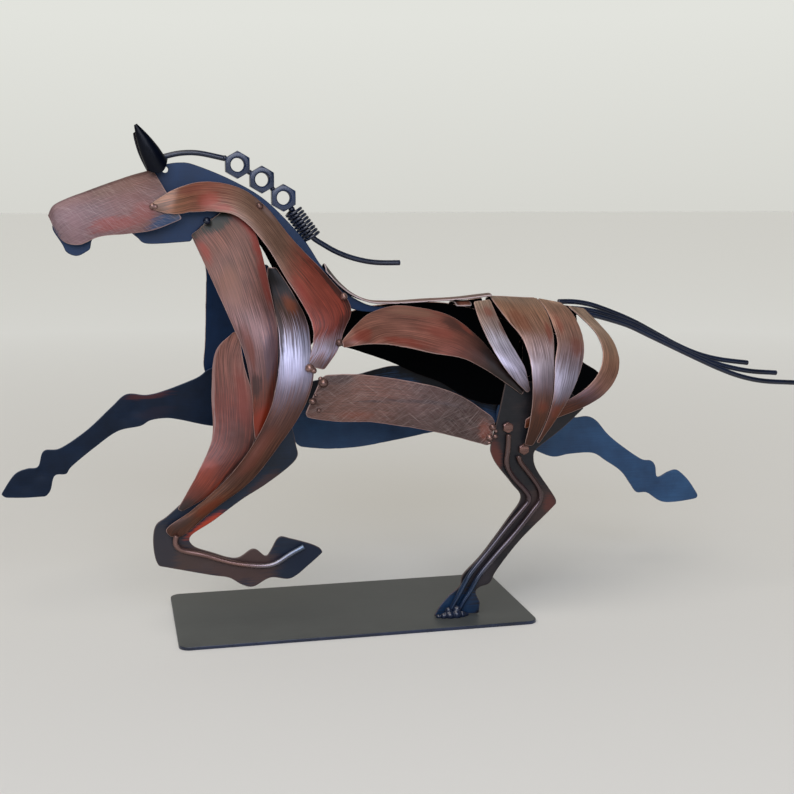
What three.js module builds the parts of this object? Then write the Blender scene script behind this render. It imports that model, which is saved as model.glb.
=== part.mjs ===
// A galloping horse welded up from bent sheet strips, flat plates, round rod,
// hexagon nuts and a coil spring, standing by one hind hoof on a steel base plate.
// Millimetres, +Z up. The origin is the centre of the base plate's underside,
// +X runs along the horse towards its tail, and the horse's left side is at -Y.
import * as THREE from 'three';

// Base plate
const baseLength = 200;
const baseWidth = 97;
const baseThickness = 2;
const baseCorner = 6;

// Stock that the horse is cut from
const plateThickness = 1.5;
const stripThickness = 1;
const rodDiameter = 3;
const nutAcrossFlats = 13;
const nutBore = 7.4;
const nutHeight = 6.5;
const smallNutAcrossFlats = 5.5;
const smallNutHeight = 2.4;
const springBore = 5.6;
const springWire = 1.5;
const springPitch = 2.05;
const springTurns = 9;
const rivetDiameter = 3.8;
const weldDiameter = 5;
const clearance = 0.3;

// The figure is drawn on a grid that is gridSteps long from fore hoof to tail, and every
// place below is [along, out from the middle plane, up] in those steps.
const figureLength = 472;
const gridSteps = 472;
const step = figureLength / gridSteps;

// How far the flat leg plates stand out from the middle plane, and the strips that lie on
// them, in steps: a lap is from the middle of a plate to the middle of a strip on it.
const lap = (plateThickness / 2 + clearance + stripThickness / 2) / step;
const nearForeOut = 27;
const farForeOut = 26;
const hindOut = 28.5;
const onNearFore = nearForeOut + lap;
const onFarFore = farForeOut + lap;
const onHind = hindOut + lap;

const left = -1;
const right = 1;

// Paints
const paints = {
  rust: { color: 0x7a4033, roughness: 0.45, metalness: 0.35 },
  navy: { color: 0x1b2433, roughness: 0.4, metalness: 0.2 },
  umber: { color: 0x4a3a38, roughness: 0.45, metalness: 0.35 },
  slate: { color: 0x35383a, roughness: 0.5, metalness: 0.2 },
};

const group = new THREE.Group();

function addPart(name, geometry, paint) {
  const mesh = new THREE.Mesh(geometry, new THREE.MeshStandardMaterial(paint));
  mesh.name = name;
  group.add(mesh);
}

// A place of the figure, on the left or the right side, as a point in millimetres
function place([along, out, up], side = right) {
  return new THREE.Vector3(along * step, side * out * step, up * step);
}

// The corners of a many-sided circle
function circle(x, y, diameter, sides) {
  return Array.from({ length: sides }, (_, k) => {
    const angle = 2 * Math.PI * k / sides;
    const radius = diameter / 2;
    return new THREE.Vector2(x + radius * Math.cos(angle), y + radius * Math.sin(angle));
  });
}

// A closed sheet: surface(t, s) is its middle skin, with t along it and s across it
function sheet(surface, alongSteps, acrossSteps, thickness) {
  const nudge = 1e-3;
  const tangent = (t, s, dt, ds) => {
    const ahead = surface(Math.min(t + dt, 1), Math.min(s + ds, 1));
    const behind = surface(Math.max(t - dt, 0), Math.max(s - ds, 0));
    return ahead.sub(behind);
  };
  const positions = [];
  for (const half of [-0.5, 0.5]) {
    for (let i = 0; i <= alongSteps; i++) {
      for (let j = 0; j <= acrossSteps; j++) {
        const t = i / alongSteps;
        const s = j / acrossSteps;
        const normal = tangent(t, s, nudge, 0).cross(tangent(t, s, 0, nudge)).normalize();
        const point = surface(t, s).addScaledVector(normal, half * thickness);
        positions.push(point.x, point.y, point.z);
      }
    }
  }
  const row = acrossSteps + 1;
  const skin = row * (alongSteps + 1);
  const index = [];
  const quad = (a, b, c, d) => index.push(a, b, c, a, c, d);
  for (let i = 0; i < alongSteps; i++) {
    for (let j = 0; j < acrossSteps; j++) {
      const a = i * row + j;
      quad(skin + a, skin + a + row, skin + a + row + 1, skin + a + 1);
      quad(a, a + 1, a + row + 1, a + row);
    }
  }
  for (let i = 0; i < alongSteps; i++) {
    const a = i * row;
    const b = a + acrossSteps;
    quad(a, a + row, skin + a + row, skin + a);
    quad(b, skin + b, skin + b + row, b + row);
  }
  for (let j = 0; j < acrossSteps; j++) {
    const b = alongSteps * row + j;
    quad(j, skin + j, skin + j + 1, j + 1);
    quad(b, b + 1, skin + b + 1, skin + b);
  }
  const geometry = new THREE.BufferGeometry();
  geometry.setAttribute('position', new THREE.Float32BufferAttribute(positions, 3));
  geometry.setIndex(index);
  return geometry;
}

// A bent strip between two rails. Each row gives one place on each rail, and the
// crown is how far the strip's middle stands out beyond the straight line between them.
// The crown fades towards the ends, down to what it is at this share of the length.
const crownFade = 0.08;
function strip(rows, side, crown, alongSteps = 12, acrossSteps = 3) {
  const railA = new THREE.CatmullRomCurve3(rows.map(([a]) => place(a, side)));
  const railB = new THREE.CatmullRomCurve3(rows.map(([, b]) => place(b, side)));
  const surface = (t, s) => {
    const point = railA.getPoint(t).lerp(railB.getPoint(t), s);
    const swell = 4 * s * (1 - s) * Math.sin(Math.PI * Math.min(Math.max(t, crownFade), 1 - crownFade));
    point.y += side * crown * step * swell;
    return point;
  };
  return sheet(surface, alongSteps, acrossSteps, stripThickness);
}

// A flat plate that stands upright at a level out from the middle plane. Its outline is
// a loop of stretches: each is a smooth curve through its points, and they meet at corners.
function plate(stretches, side, out, holes = []) {
  const outline = new THREE.Shape();
  const start = stretches[0][0];
  outline.moveTo(start[0] * step, start[1] * step);
  stretches.forEach((stretch, i) => {
    const next = stretches[(i + 1) % stretches.length][0];
    const points = [...stretch, next].map(([x, z]) => new THREE.Vector2(x * step, z * step));
    const bends = points.length > 2 ? (points.length - 1) * 2 : 1;
    const curve = new THREE.SplineCurve(points);
    for (let k = 1; k <= bends; k++) {
      const point = curve.getPoint(k / bends);
      outline.lineTo(point.x, point.y);
    }
  });
  for (const [x, z, diameter] of holes) {
    outline.holes.push(new THREE.Path(circle(x * step, z * step, diameter, 12)));
  }
  const geometry = new THREE.ExtrudeGeometry(outline, { depth: plateThickness, bevelEnabled: false });
  geometry.rotateX(Math.PI / 2);
  geometry.translate(0, side * out * step + plateThickness / 2, 0);
  return geometry;
}

// A round rod or wire along a curve
function tube(curve, diameter, steps, sides = 6) {
  const section = new THREE.Shape(circle(0, 0, diameter, sides));
  return new THREE.ExtrudeGeometry(section, { extrudePath: curve, steps, bevelEnabled: false });
}

function rod(places, side, diameter = rodDiameter) {
  const curve = new THREE.CatmullRomCurve3(places.map((p) => place(p, side)));
  return tube(curve, diameter, Math.round(places.length * 1.5));
}

// A hexagon nut with its bore along Y and one corner up
function hexNut(acrossFlats, height, bore, centre) {
  const corners = circle(0, 0, 2 * acrossFlats / Math.sqrt(3), 6);
  const outline = new THREE.Shape(corners);
  if (bore > 0) {
    outline.holes.push(new THREE.Path(circle(0, 0, bore, 16)));
  }
  const geometry = new THREE.ExtrudeGeometry(outline, { depth: height, bevelEnabled: false });
  geometry.rotateZ(Math.PI / 2);
  geometry.rotateX(Math.PI / 2);
  geometry.translate(centre.x, centre.y + height / 2, centre.z);
  return geometry;
}

// A rivet head or weld bead: a flattened ball that lies on a strip whose middle is at out
function button([along, out, up], side, diameter) {
  const flatness = 0.6;
  const geometry = new THREE.SphereGeometry(diameter / 2, 8, 5);
  geometry.scale(1, flatness, 1);
  const rise = stripThickness / 2 + clearance + flatness * diameter / 2;
  const centre = place([along, out, up], side);
  geometry.translate(centre.x, centre.y + side * rise, centre.z);
  return geometry;
}

// Base plate
const baseOutline = new THREE.Shape();
const halfLength = baseLength / 2 - baseCorner;
const halfWidth = baseWidth / 2 - baseCorner;
baseOutline.absarc(halfLength, halfWidth, baseCorner, 0, Math.PI / 2, false);
baseOutline.absarc(-halfLength, halfWidth, baseCorner, Math.PI / 2, Math.PI, false);
baseOutline.absarc(-halfLength, -halfWidth, baseCorner, Math.PI, 1.5 * Math.PI, false);
baseOutline.absarc(halfLength, -halfWidth, baseCorner, 1.5 * Math.PI, 2 * Math.PI, false);
const basePlate = new THREE.ExtrudeGeometry(baseOutline, {
  depth: baseThickness,
  bevelEnabled: false,
  curveSegments: 4,
});
addPart('base_plate', basePlate, paints.slate);

// Head and neck plate, flat in the middle plane
const neckOutline = [
  [[-97.1, 255.6], [-90.7, 256.4], [-82.9, 255.4], [-63.3, 247.5], [-44.7, 236.6],
    [-26.4, 218.4], [-19.8, 209.6], [-15.5, 202.6]],
  [[-11, 197], [-2, 186.6], [12, 178.2], [26, 176.2]],
  [[26, 174.4], [8, 174.6], [-10, 182], [-22, 193], [-34, 208], [-48, 226], [-64, 231], [-80, 222]],
  [[-85.4, 214.2], [-108.2, 213.1], [-114, 216.6], [-120, 220.4], [-131.7, 219.6]],
  [[-138.2, 214.6]],
  [[-138.6, 210.4], [-145, 207], [-148, 208.2]],
  [[-152.2, 213.2]],
  [[-151, 216], [-151.5, 226]],
  [[-140, 236.6]],
  [[-110, 248.4]],
  [[-103.4, 250.4]],
  [[-101.4, 254.2]],
];
const pollHoleDiameter = 3.4;
const pollHole = [-98.2, 252.6, pollHoleDiameter];
addPart('neck_plate', plate(neckOutline, right, 0, [pollHole]), paints.navy);

// Face plate, bent over the bridge of the nose: ridge, lower edge and half width at each row
const faceRows = [
  { ridge: [-104.6, 0, 252.4], edge: [-90.4, 0, 226.4], half: 11.5 },
  { ridge: [-115.4, 0, 250.4], edge: [-105.5, 0, 220.6], half: 10.5 },
  { ridge: [-127.3, 0, 245.4], edge: [-119.5, 0, 218.6], half: 9 },
  { ridge: [-139.3, 0, 240], edge: [-133.5, 0, 217.2], half: 7.5 },
  { ridge: [-149.5, 0, 235.4], edge: [-144.2, 0, 213], half: 6 },
  { ridge: [-156.6, 0, 231.4], edge: [-152, 0, 214.6], half: 4.4 },
  { ridge: [-158.8, 0, 227.6], edge: [-156.8, 0, 221.4], half: 3 },
];
const faceRidge = new THREE.CatmullRomCurve3(faceRows.map(({ ridge }) => place(ridge)));
const faceEdge = new THREE.CatmullRomCurve3(faceRows.map(({ edge }) => place(edge)));
const faceHalf = new THREE.SplineCurve(
  faceRows.map(({ half }, i) => new THREE.Vector2(i, half * step)),
);
function faceSurface(t, s) {
  const angle = (s - 0.5) * Math.PI;
  const point = faceEdge.getPoint(t).lerp(faceRidge.getPoint(t), Math.cos(angle));
  point.y = -faceHalf.getPoint(t).y * Math.sin(angle);
  return point;
}
addPart('face_plate', sheet(faceSurface, 9, 10, stripThickness), paints.rust);

// Ears: cones rolled from sheet beside the poll, open to the front
const earFoot = [-102.4, 5.2, 255.4];
const earTip = [-112.8, 8.4, 275.4];
const earRadius = 5.4;
const earTipRadius = 0.6;
const earFlatness = 0.7;
const earWrap = 1.25 * Math.PI;
const earTurn = 0.35 * Math.PI;
function ear(side) {
  const foot = place(earFoot, side);
  const rise = place(earTip, side).sub(foot);
  const across = new THREE.Vector3(1, 0, -rise.x / rise.z).normalize();
  const outward = new THREE.Vector3(0, side, 0);
  const surface = (t, s) => {
    const radius = step * (earRadius + (earTipRadius - earRadius) * t);
    const angle = (s - 0.5) * earWrap + earTurn;
    return foot.clone().addScaledVector(rise, t)
      .addScaledVector(across, radius * Math.cos(angle))
      .addScaledVector(outward, radius * earFlatness * Math.sin(angle));
  };
  return sheet(surface, 4, 6, stripThickness);
}
addPart('ear_left', ear(left), paints.navy);
addPart('ear_right', ear(right), paints.navy);

// Mane: a rod, three nuts corner to corner, a coil spring and a second rod
const firstNut = [-59.4, 0, 255.3];
const nutFalls = [31, 40];
const frontRodRise = 3.6;
const springFall = [10.8, 0, -14.6];
const nutReach = nutAcrossFlats / Math.sqrt(3);
const nutCentres = [place(firstNut)];
for (const fall of nutFalls) {
  const angle = -fall * Math.PI / 180;
  const previous = nutCentres[nutCentres.length - 1];
  const gap = 2 * nutReach + clearance;
  nutCentres.push(new THREE.Vector3(
    previous.x + gap * Math.cos(angle),
    0,
    previous.z + gap * Math.sin(angle),
  ));
}
nutCentres.forEach((centre, i) => {
  addPart(`mane_nut_${i + 1}`, hexNut(nutAcrossFlats, nutHeight, nutBore, centre), paints.navy);
});
const frontRodEnd = nutCentres[0].clone().add(
  new THREE.Vector3(-nutAcrossFlats / 2 - 2 * clearance, 0, frontRodRise * step),
);
const maneFront = new THREE.CatmullRomCurve3([
  ...[[-98.6, 0, 259.4], [-91, 0, 261.2], [-81.5, 0, 261.6]].map((p) => place(p)),
  frontRodEnd,
]);
addPart('mane_rod_front', tube(maneFront, rodDiameter, 6), paints.navy);

const lastNut = nutCentres[nutCentres.length - 1];
const springAxis = place(springFall).normalize();
const springStart = lastNut.clone().addScaledVector(springAxis, nutReach + clearance + springWire / 2);
const springSide = new THREE.Vector3(0, 1, 0);
const springUp = springSide.clone().cross(springAxis);
class SpringCurve extends THREE.Curve {
  getPoint(t, target = new THREE.Vector3()) {
    const turn = 2 * Math.PI * springTurns * t;
    const radius = (springBore + springWire) / 2;
    return target.copy(springStart)
      .addScaledVector(springAxis, springPitch * springTurns * t)
      .addScaledVector(springSide, radius * Math.cos(turn))
      .addScaledVector(springUp, radius * Math.sin(turn));
  }
}
addPart('mane_spring', tube(new SpringCurve(), springWire, springTurns * 8, 5), paints.navy);
const springEnd = springStart.clone().addScaledVector(springAxis, springPitch * springTurns);
const maneRear = new THREE.CatmullRomCurve3([
  springStart,
  springStart.clone().lerp(springEnd, 0.5),
  springEnd,
  ...[[-12.6, 0, 212], [-6, 0, 208.2], [3, 0, 204.6], [14.1, 0, 202], [22.9, 0, 201.4],
    [31.3, 0, 201.4]].map((p) => place(p)),
]);
addPart('mane_rod_rear', tube(maneRear, rodDiameter, 14), paints.navy);

// Crest strips: from the cheek over the neck to the point of the shoulder
const crestRows = [
  [[-106.4, 11.2, 234.4], [-105.8, 11.4, 231.6]],
  [[-93.2, 11.8, 242.4], [-96.8, 13.6, 229]],
  [[-76.3, 5, 246.2], [-80, 9.4, 230.2]],
  [[-58.1, 2.6, 242.5], [-62, 9.6, 228.2]],
  [[-45.5, 3, 233.3], [-47.6, 15, 213.8]],
  [[-30, 9, 213.6], [-36, 22, 193.5]],
  [[-13, 16.4, 195], [-27, 28, 177.6]],
  [[-1.6, 24.5, 178], [-23.6, 31, 167]],
  [[-7, 30, 166], [-24, 33, 162.4]],
  [[-11, 35, 156.8], [-24.8, 35, 155]],
  [[-19.6, 37, 146.8], [-26, 36.2, 150]],
];
addPart('crest_strip_left', strip(crestRows, left, 1.5, 16), paints.rust);
addPart('crest_strip_right', strip(crestRows, right, 1.5, 16), paints.rust);

// Throat strips: from the jaw down over the breast
const throatRows = [
  [[-85.4, 3, 217.6], [-64, 3, 233.5]],
  [[-78.4, 12, 200.5], [-53, 8.4, 222.4]],
  [[-68.4, 24, 175.7], [-45.4, 20, 190]],
  [[-60.4, 28, 155], [-42.6, 28.6, 166]],
  [[-56.8, 29.4, 132], [-43.4, 30, 145]],
  [[-55.5, onNearFore + 1, 118], [-48.6, onNearFore + 1.2, 119]],
  [[-54.9, onNearFore + 0.8, 109], [-52.6, onNearFore + 0.8, 109]],
];
addPart('throat_strip_left', strip(throatRows, left, 2.5), paints.rust);
const farThroatRows = [
  [[-85.4, 3, 217.6], [-64, 3, 233.5]],
  [[-77.6, 11, 203], [-55.5, 7.4, 222.4]],
  [[-76.8, 18, 178], [-48, 19, 190]],
  [[-77.4, 24, 156], [-42.6, 27, 166]],
  [[-78, 27, 141], [-44, 29, 146]],
  [[-75, onFarFore + 0.4, 134], [-50, onFarFore + 1.6, 128]],
];
addPart('throat_strip_right', strip(farThroatRows, right, 2), paints.rust);

// Breast leaf on the near side, between the throat strip and the shoulder strip
const breastRows = [
  [[-65.4, 22.6, 166.4], [-62.4, 24, 166.8]],
  [[-74.6, 20, 156.6], [-60.6, 25.4, 150]],
  [[-77.6, 21, 135.4], [-57.4, 27.9, 130]],
  [[-78.4, 25.6, 110], [-59, onNearFore + 0.4, 104]],
  [[-85.6, onNearFore, 94], [-72, onNearFore + 0.8, 88]],
  [[-92.2, onNearFore + 0.3, 82.2], [-82, onNearFore + 0.8, 78.6]],
  [[-98.1, onNearFore + 0.4, 72.4], [-95.4, onNearFore + 0.4, 71.4]],
];
addPart('breast_leaf_left', strip(breastRows, left, 1), paints.rust);

// Shoulder strips: from under the crest strip, over the forearm plate, to the knee
const shoulderRows = [
  [[-46, 17.4, 200.6], [-41.4, 18, 200.2]],
  [[-45.6, 18, 188], [-34.6, 21.4, 188]],
  [[-42.4, 27, 170.6], [-28.4, 27.6, 171]],
  [[-42, 32.6, 157], [-28, 32.6, 158.4]],
  [[-43.4, 35, 145], [-26.4, 36.6, 146]],
  [[-48, 36.4, 126], [-31.5, 37.6, 129]],
  [[-59.6, 35.4, 104], [-44.8, 36.6, 105]],
  [[-73.3, 33.4, 87], [-60, 34.4, 86.5]],
  [[-91, onNearFore + 2.9, 71.6], [-79.2, onNearFore + 3.6, 72]],
  [[-104.4, onNearFore + 1.8, 61.8], [-92.3, onNearFore + 2.2, 60.6]],
  [[-102, onNearFore + 1, 58], [-96.6, onNearFore + 1.2, 57.6]],
];
addPart('shoulder_strip_left', strip(shoulderRows, left, 2, 14), paints.rust);
const farShoulderRows = [
  [[-45.4, 17.4, 200.6], [-41.4, 18, 200.2]],
  [[-43.4, 18.6, 188], [-34.6, 21.4, 188]],
  [[-41, 27, 170.6], [-28.4, 27.6, 171]],
  [[-42, 32.6, 157], [-28, 32.6, 158.4]],
  [[-45.4, 34, 145], [-27.4, 36, 142]],
  [[-56, 34, 130], [-40, 36, 122]],
  [[-76, 31.6, 124], [-68, 32, 114]],
  [[-98, onFarFore + 1, 122.4], [-98, onFarFore + 1, 118]],
];
addPart('shoulder_strip_right', strip(farShoulderRows, right, 2, 12), paints.rust);

// Foreleg folded under the near side, and its rod
const nearForeLeg = [
  [[-97, 74], [-103.9, 68.1], [-109, 64.7], [-110.9, 59.6], [-111.2, 52.3], [-110.3, 45.5]],
  [[-108.6, 41.3], [-81.2, 34.6], [-71.1, 32.4], [-64.5, 28.2], [-58, 26.4], [-48.3, 30.9],
    [-37.2, 29.7], [-26.6, 37.1]],
  [[-19.1, 43.5]],
  [[-20.5, 45.8], [-25.7, 48.5], [-36.9, 52.2], [-43.5, 53.4], [-48.1, 46.1], [-51, 43.2],
    [-57.6, 47.8], [-67.2, 43.1], [-80.9, 47.4], [-90, 51.4], [-91.2, 57], [-79, 64.7], [-63.6, 75.5],
    [-48.1, 84.8], [-33.5, 96.4], [-33.4, 105], [-36, 116]],
  [[-42, 128], [-54, 122], [-64, 104], [-80, 88]],
];
addPart('foreleg_plate_left', plate(nearForeLeg, left, nearForeOut), paints.rust);
const rodLap = (plateThickness / 2 + clearance + rodDiameter / 2) / step;
const foreRod = [[-99.4, 54.4], [-98.6, 51.8], [-95, 49.9], [-84, 46.4], [-74, 42.7], [-63.1, 39.8],
  [-47.7, 38.6], [-37.3, 44.2], [-29.9, 47.9]].map(([x, z]) => [x, nearForeOut + rodLap, z]);
addPart('foreleg_rod_left', rod(foreRod, left), paints.umber);

// Foreleg stretched forward on the far side
const farForeLeg = [
  [[-52, 118], [-62, 109], [-74, 107.7], [-92.7, 112.1], [-100.6, 113.3], [-109.3, 112.3],
    [-114.9, 109.3], [-127.5, 106.8], [-140.3, 98.2], [-153.8, 87.5], [-156.8, 83.4],
    [-163.2, 82.7], [-165.8, 74.3]],
  [[-168.6, 71], [-180, 70.8]],
  [[-190.3, 71.4]],
  [[-192.7, 73.3], [-185.2, 84.2], [-178, 87.4], [-172.1, 88.2], [-168.7, 97.1], [-159.5, 98.3],
    [-144.5, 108.1], [-131, 120.4], [-122.1, 127.8], [-111.2, 127], [-100.9, 129.1],
    [-82.6, 135.8]],
  [[-77, 140]],
  [[-60, 148], [-44, 146], [-38, 134]],
];
addPart('foreleg_plate_right', plate(farForeLeg, right, farForeOut), paints.navy);

// Spine strip along the back, and the bridge under it that the hip strips start from
const spineRows = [
  [-12, 202.4], [-4.4, 192.4], [3, 185.2], [12, 180.8], [24.1, 179.6], [42, 180.2], [62, 181],
  [84, 183],
];
const spineHalf = 6;
const spineSag = 0.6;
const spineCurve = new THREE.CatmullRomCurve3(spineRows.map(([x, z]) => place([x, 0, z])));
function spineSurface(t, s) {
  const point = spineCurve.getPoint(t);
  point.y = (0.5 - s) * 2 * spineHalf * step;
  point.z -= 4 * spineSag * (s - 0.5) ** 2 * step;
  return point;
}
addPart('spine_strip', sheet(spineSurface, 12, 2, stripThickness), paints.rust);
const [bridgeStart, spineLevel] = spineRows.at(-2);
const bridgeLength = 9.2;
const bridgeHalf = 9;
const bridgeRise = 3.2;
const bridgeArc = 0.8 * Math.PI;
const bridgeTop = spineLevel - spineSag - (stripThickness + clearance) / step;
function bridgeSurface(t, s) {
  const angle = (s - 0.5) * bridgeArc;
  const up = bridgeTop - bridgeRise * (1 - Math.cos(angle));
  return place([bridgeStart + bridgeLength * t, -bridgeHalf * Math.sin(angle), up]);
}
addPart('rump_bridge', sheet(bridgeSurface, 1, 6, stripThickness), paints.umber);

// Loin leaves: from the shoulder back to the hip
const loinRows = [
  [[-8.6, 33.6, 161], [-8, 34, 157.8]],
  [[-1.6, 29, 167.6], [1, 34, 158.9]],
  [[11, 16, 174.6], [14.7, 32.6, 158.9]],
  [[27, 8.4, 177.6], [28, 31, 156.5]],
  [[45, 11, 175.4], [44, 30, 152.6]],
  [[58.5, 16, 170.6], [60, onHind - 0.7, 149.5]],
  [[70, 22.6, 161], [72, onHind - 0.7, 143.6]],
  [[82, 28.4, 146], [84.8, onHind - 0.1, 135.2]],
  [[95.4, onHind, 130], [94.4, onHind, 128.4]],
];
addPart('loin_leaf_left', strip(loinRows, left, 3, 12, 4), paints.rust);
const farLoinRows = [
  [[-8.6, 33.6, 161], [-8, 34, 155]],
  [[-1.6, 29, 167.6], [4, 34, 151]],
  [[11, 16, 174.6], [18, 33, 146.6]],
  [[27, 8.6, 177.6], [34, 31, 140.6]],
  [[45, 10, 178.2], [48, 30, 134]],
  [[60, 10.4, 177.4], [62, 28.8, 128.6]],
  [[74, 9.4, 174.6], [78, hindOut - 1.4, 121.6]],
  [[92, 12.4, 169], [91, hindOut - 2, 118]],
  [[110, 17, 160], [102, hindOut - 2.2, 117]],
];
addPart('loin_leaf_right', strip(farLoinRows, right, 3, 12, 4), paints.rust);

// Belly bands
const bellyRows = [
  [[-19.6, 35, 143.6], [-30, 35, 120.8]],
  [[-1.1, 35.4, 143.3], [-10.7, 32.6, 117.3]],
  [[16, 34.6, 140.9], [8, 31.8, 116.2]],
  [[33.4, 33.4, 137.3], [25.2, 31, 113.1]],
  [[46.6, 32.4, 133.8], [42.6, 30.4, 109.4]],
  [[60, onHind + 1.1, 128], [59, onHind, 104.8]],
  [[71.4, onHind, 120.4], [70, onHind, 101.3]],
  [[79, onHind, 115], [76.4, onHind, 99.4]],
];
addPart('belly_band_left', strip(bellyRows, left, 1.5), paints.umber);
const farBellyRows = [
  [[-32, 29.4, 126], [-25, 28.8, 93]],
  [[-14, 33, 131], [-8, 29.6, 90.6]],
  [[12.2, 34, 134], [11, 30.4, 90.6]],
  [[38, 33.6, 138.6], [34.3, 30.4, 93.8]],
  [[62, 31, 131], [58, 29.8, 97.9]],
  [[88, onHind, 121], [84, onHind, 101.5]],
  [[102, onHind + 0.1, 112], [100, onHind + 0.1, 102]],
];
addPart('belly_band_right', strip(farBellyRows, right, 1.5), paints.rust);

// Hip strips: four on each side, from the top line down to the thigh
const hipStrips = [
  [
    [[72.2, 8, 179], [82, 8, 180.2]],
    [[72.8, 14, 172], [84.4, 14, 171]],
    [[74.6, 20.4, 163.7], [88.3, 20.8, 160.1]],
    [[78.4, 27.6, 153.1], [91.9, 27.8, 151.1]],
    [[84.2, 31.6, 143.1], [95.2, 31.8, 144]],
    [[90.8, 32.6, 135.3], [96.6, 33, 137.6]],
    [[96.6, 33, 129.6], [98.2, 33, 131]],
  ],
  [
    [[84, 1.4, 181.4], [112.4, 1.4, 180]],
    [[84.2, 8.6, 178.6], [114.4, 9, 174.6]],
    [[90, 17, 168.6], [115.6, 17, 166.2]],
    [[95.6, 26, 159.4], [114.4, 25.6, 157.3]],
    [[98.2, 33.4, 146], [112.4, 31.6, 147]],
    [[98.6, 36.6, 128.1], [109.8, 36.8, 126]],
    [[97.2, 36, 113], [105.6, 36.6, 112]],
    [[95.4, 33, 100], [100, 33.4, 99.4]],
  ],
  [
    [[112.9, 1.4, 179.8], [125.4, 6.4, 177.6]],
    [[115, 9, 174.4], [130.4, 9.4, 172.4]],
    [[117, 17, 165.2], [133.2, 18.4, 162.4]],
    [[116.6, 25.6, 156.4], [132.4, 26.4, 152.4]],
    [[113.2, 31.8, 146.4], [128.6, 32.6, 142.6]],
    [[110.4, 36.8, 126], [119, 37.2, 125]],
    [[106.3, 36.6, 112], [110, 36.6, 111]],
    [[102, 34.4, 101.4], [103.4, 34.4, 101.2]],
  ],
  [
    [[129.4, 6.4, 175.4], [139.4, 6.4, 173.8]],
    [[136.6, 11.6, 168.6], [147, 12, 164.8]],
    [[142.6, 19, 160], [152.6, 19, 156]],
    [[144, 26, 150], [154, 26, 145]],
    [[140, 31, 139.9], [149.4, 31, 134.4]],
    [[132.6, 33.4, 132.2], [141.4, 33.4, 126.6]],
    [[123, 33.6, 126], [130, 33.6, 120.4]],
    [[110, 32.4, 121.6], [113, 32.4, 114]],
    [[96.6, onHind + 0.3, 114], [96, onHind + 0.3, 108.6]],
  ],
];
hipStrips.forEach((rows, i) => {
  addPart(`hip_strip_left_${i + 1}`, strip(rows, left, 1), paints.rust);
});
const farTuck = [0, 4.5, 7, 7, 7, 6, 5];
const farLastHip = hipStrips[3].slice(0, farTuck.length).map((pair, k) => (
  pair.map(([x, out, z]) => [x - farTuck[k], out, z])
));
[...hipStrips.slice(0, 3), farLastHip].forEach((rows, i) => {
  addPart(`hip_strip_right_${i + 1}`, strip(rows, right, 1), paints.rust);
});

// Standing hind leg on the near side
const nearHindLeg = [
  [[85.4, 136.4], [80.7, 114.6], [76.9, 99.5], [77.5, 94.2], [81, 87.8], [89.7, 76.9],
    [95, 68.4], [86.9, 56.2], [72, 37], [61, 25.6], [59.4, 19.4]],
  [[53.4, 14.4], [47.6, 8]],
  [[44.2, (baseThickness + clearance) / step]],
  [[70.6, (baseThickness + clearance) / step]],
  [[71.2, 9], [68.6, 15], [71.2, 17.8], [77, 19.8], [81, 27], [94.8, 43.8], [113.7, 61.5],
    [116.3, 65.1], [114.3, 69.7], [104, 85], [102.3, 93.4]],
  [[104.3, 97], [119, 107.6]],
  [[132, 119], [118, 132]],
];
addPart('hind_leg_plate_left', plate(nearHindLeg, left, hindOut), paints.umber);
const hindRods = [
  [[86.6, 106], [86.5, 98], [85.7, 88.6], [90.3, 80.4], [97, 73], [99.7, 68], [96.4, 63.6],
    [86, 51.9], [74.8, 38.4], [64.2, 25.7], [58.6, 15.6], [54.8, 9]],
  [[95.2, 91], [96.6, 87.8], [101.1, 81.1], [105.6, 73.4], [106.3, 67.8], [101.1, 60.7],
    [89.9, 47.2], [78.7, 35.2], [69.6, 24.6], [64.4, 15.6], [60, 9.2]],
];
hindRods.forEach((points, i) => {
  const route = points.map(([x, z]) => [x, hindOut + rodLap, z]);
  addPart(`hind_leg_rod_${i + 1}`, rod(route, left), paints.umber);
});
const smallNuts = { hind_leg_nut_1: [86.3, 109.9], hind_leg_nut_2: [94.6, 95.4], hoof_nut: [56.6, 5.6] };
for (const [name, [x, z]] of Object.entries(smallNuts)) {
  const centre = place([x, hindOut, z], left);
  centre.y -= plateThickness / 2 + clearance + smallNutHeight / 2;
  addPart(name, hexNut(smallNutAcrossFlats, smallNutHeight, 0, centre), paints.umber);
}

// Hind leg stretched back on the far side
const farHindLeg = [
  [[148.7, 103.5], [156.8, 104.1], [162.8, 101], [170.2, 92.5], [179.5, 84.8], [193.1, 75.6],
    [199.8, 74.2], [202.8, 70.6], [204.4, 63.4]],
  [[211, 66.2], [216.2, 67.6], [219.6, 66.2], [226, 60]],
  [[232.4, 50.7], [230, 48], [209.6, 46.9], [197.8, 53.6], [190.8, 54.2], [186.6, 59.4],
    [179.9, 68.2], [169.5, 75.5], [160.2, 80.9], [145.2, 80.9], [134.8, 79.6], [123.3, 84]],
  [[108, 92], [98, 106], [104, 120], [122, 124], [138, 114]],
];
addPart('hind_leg_plate_right', plate(farHindLeg, right, hindOut), paints.navy);

// Thigh leaf on the far side, under the last two hip strips
const thighRows = [
  [[112, 21, 158], [114, onHind - 0.4, 134]],
  [[131, 20, 157], [131, onHind + 0.1, 126]],
  [[152.6, 26.4, 138.2], [148, onHind + 0.1, 114]],
  [[163.4, 27.6, 131], [159, onHind, 113]],
  [[165.6, 29, 124], [164, onHind, 117]],
];
addPart('thigh_leaf_right', strip(thighRows, right, 1, 8), paints.rust);

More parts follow.
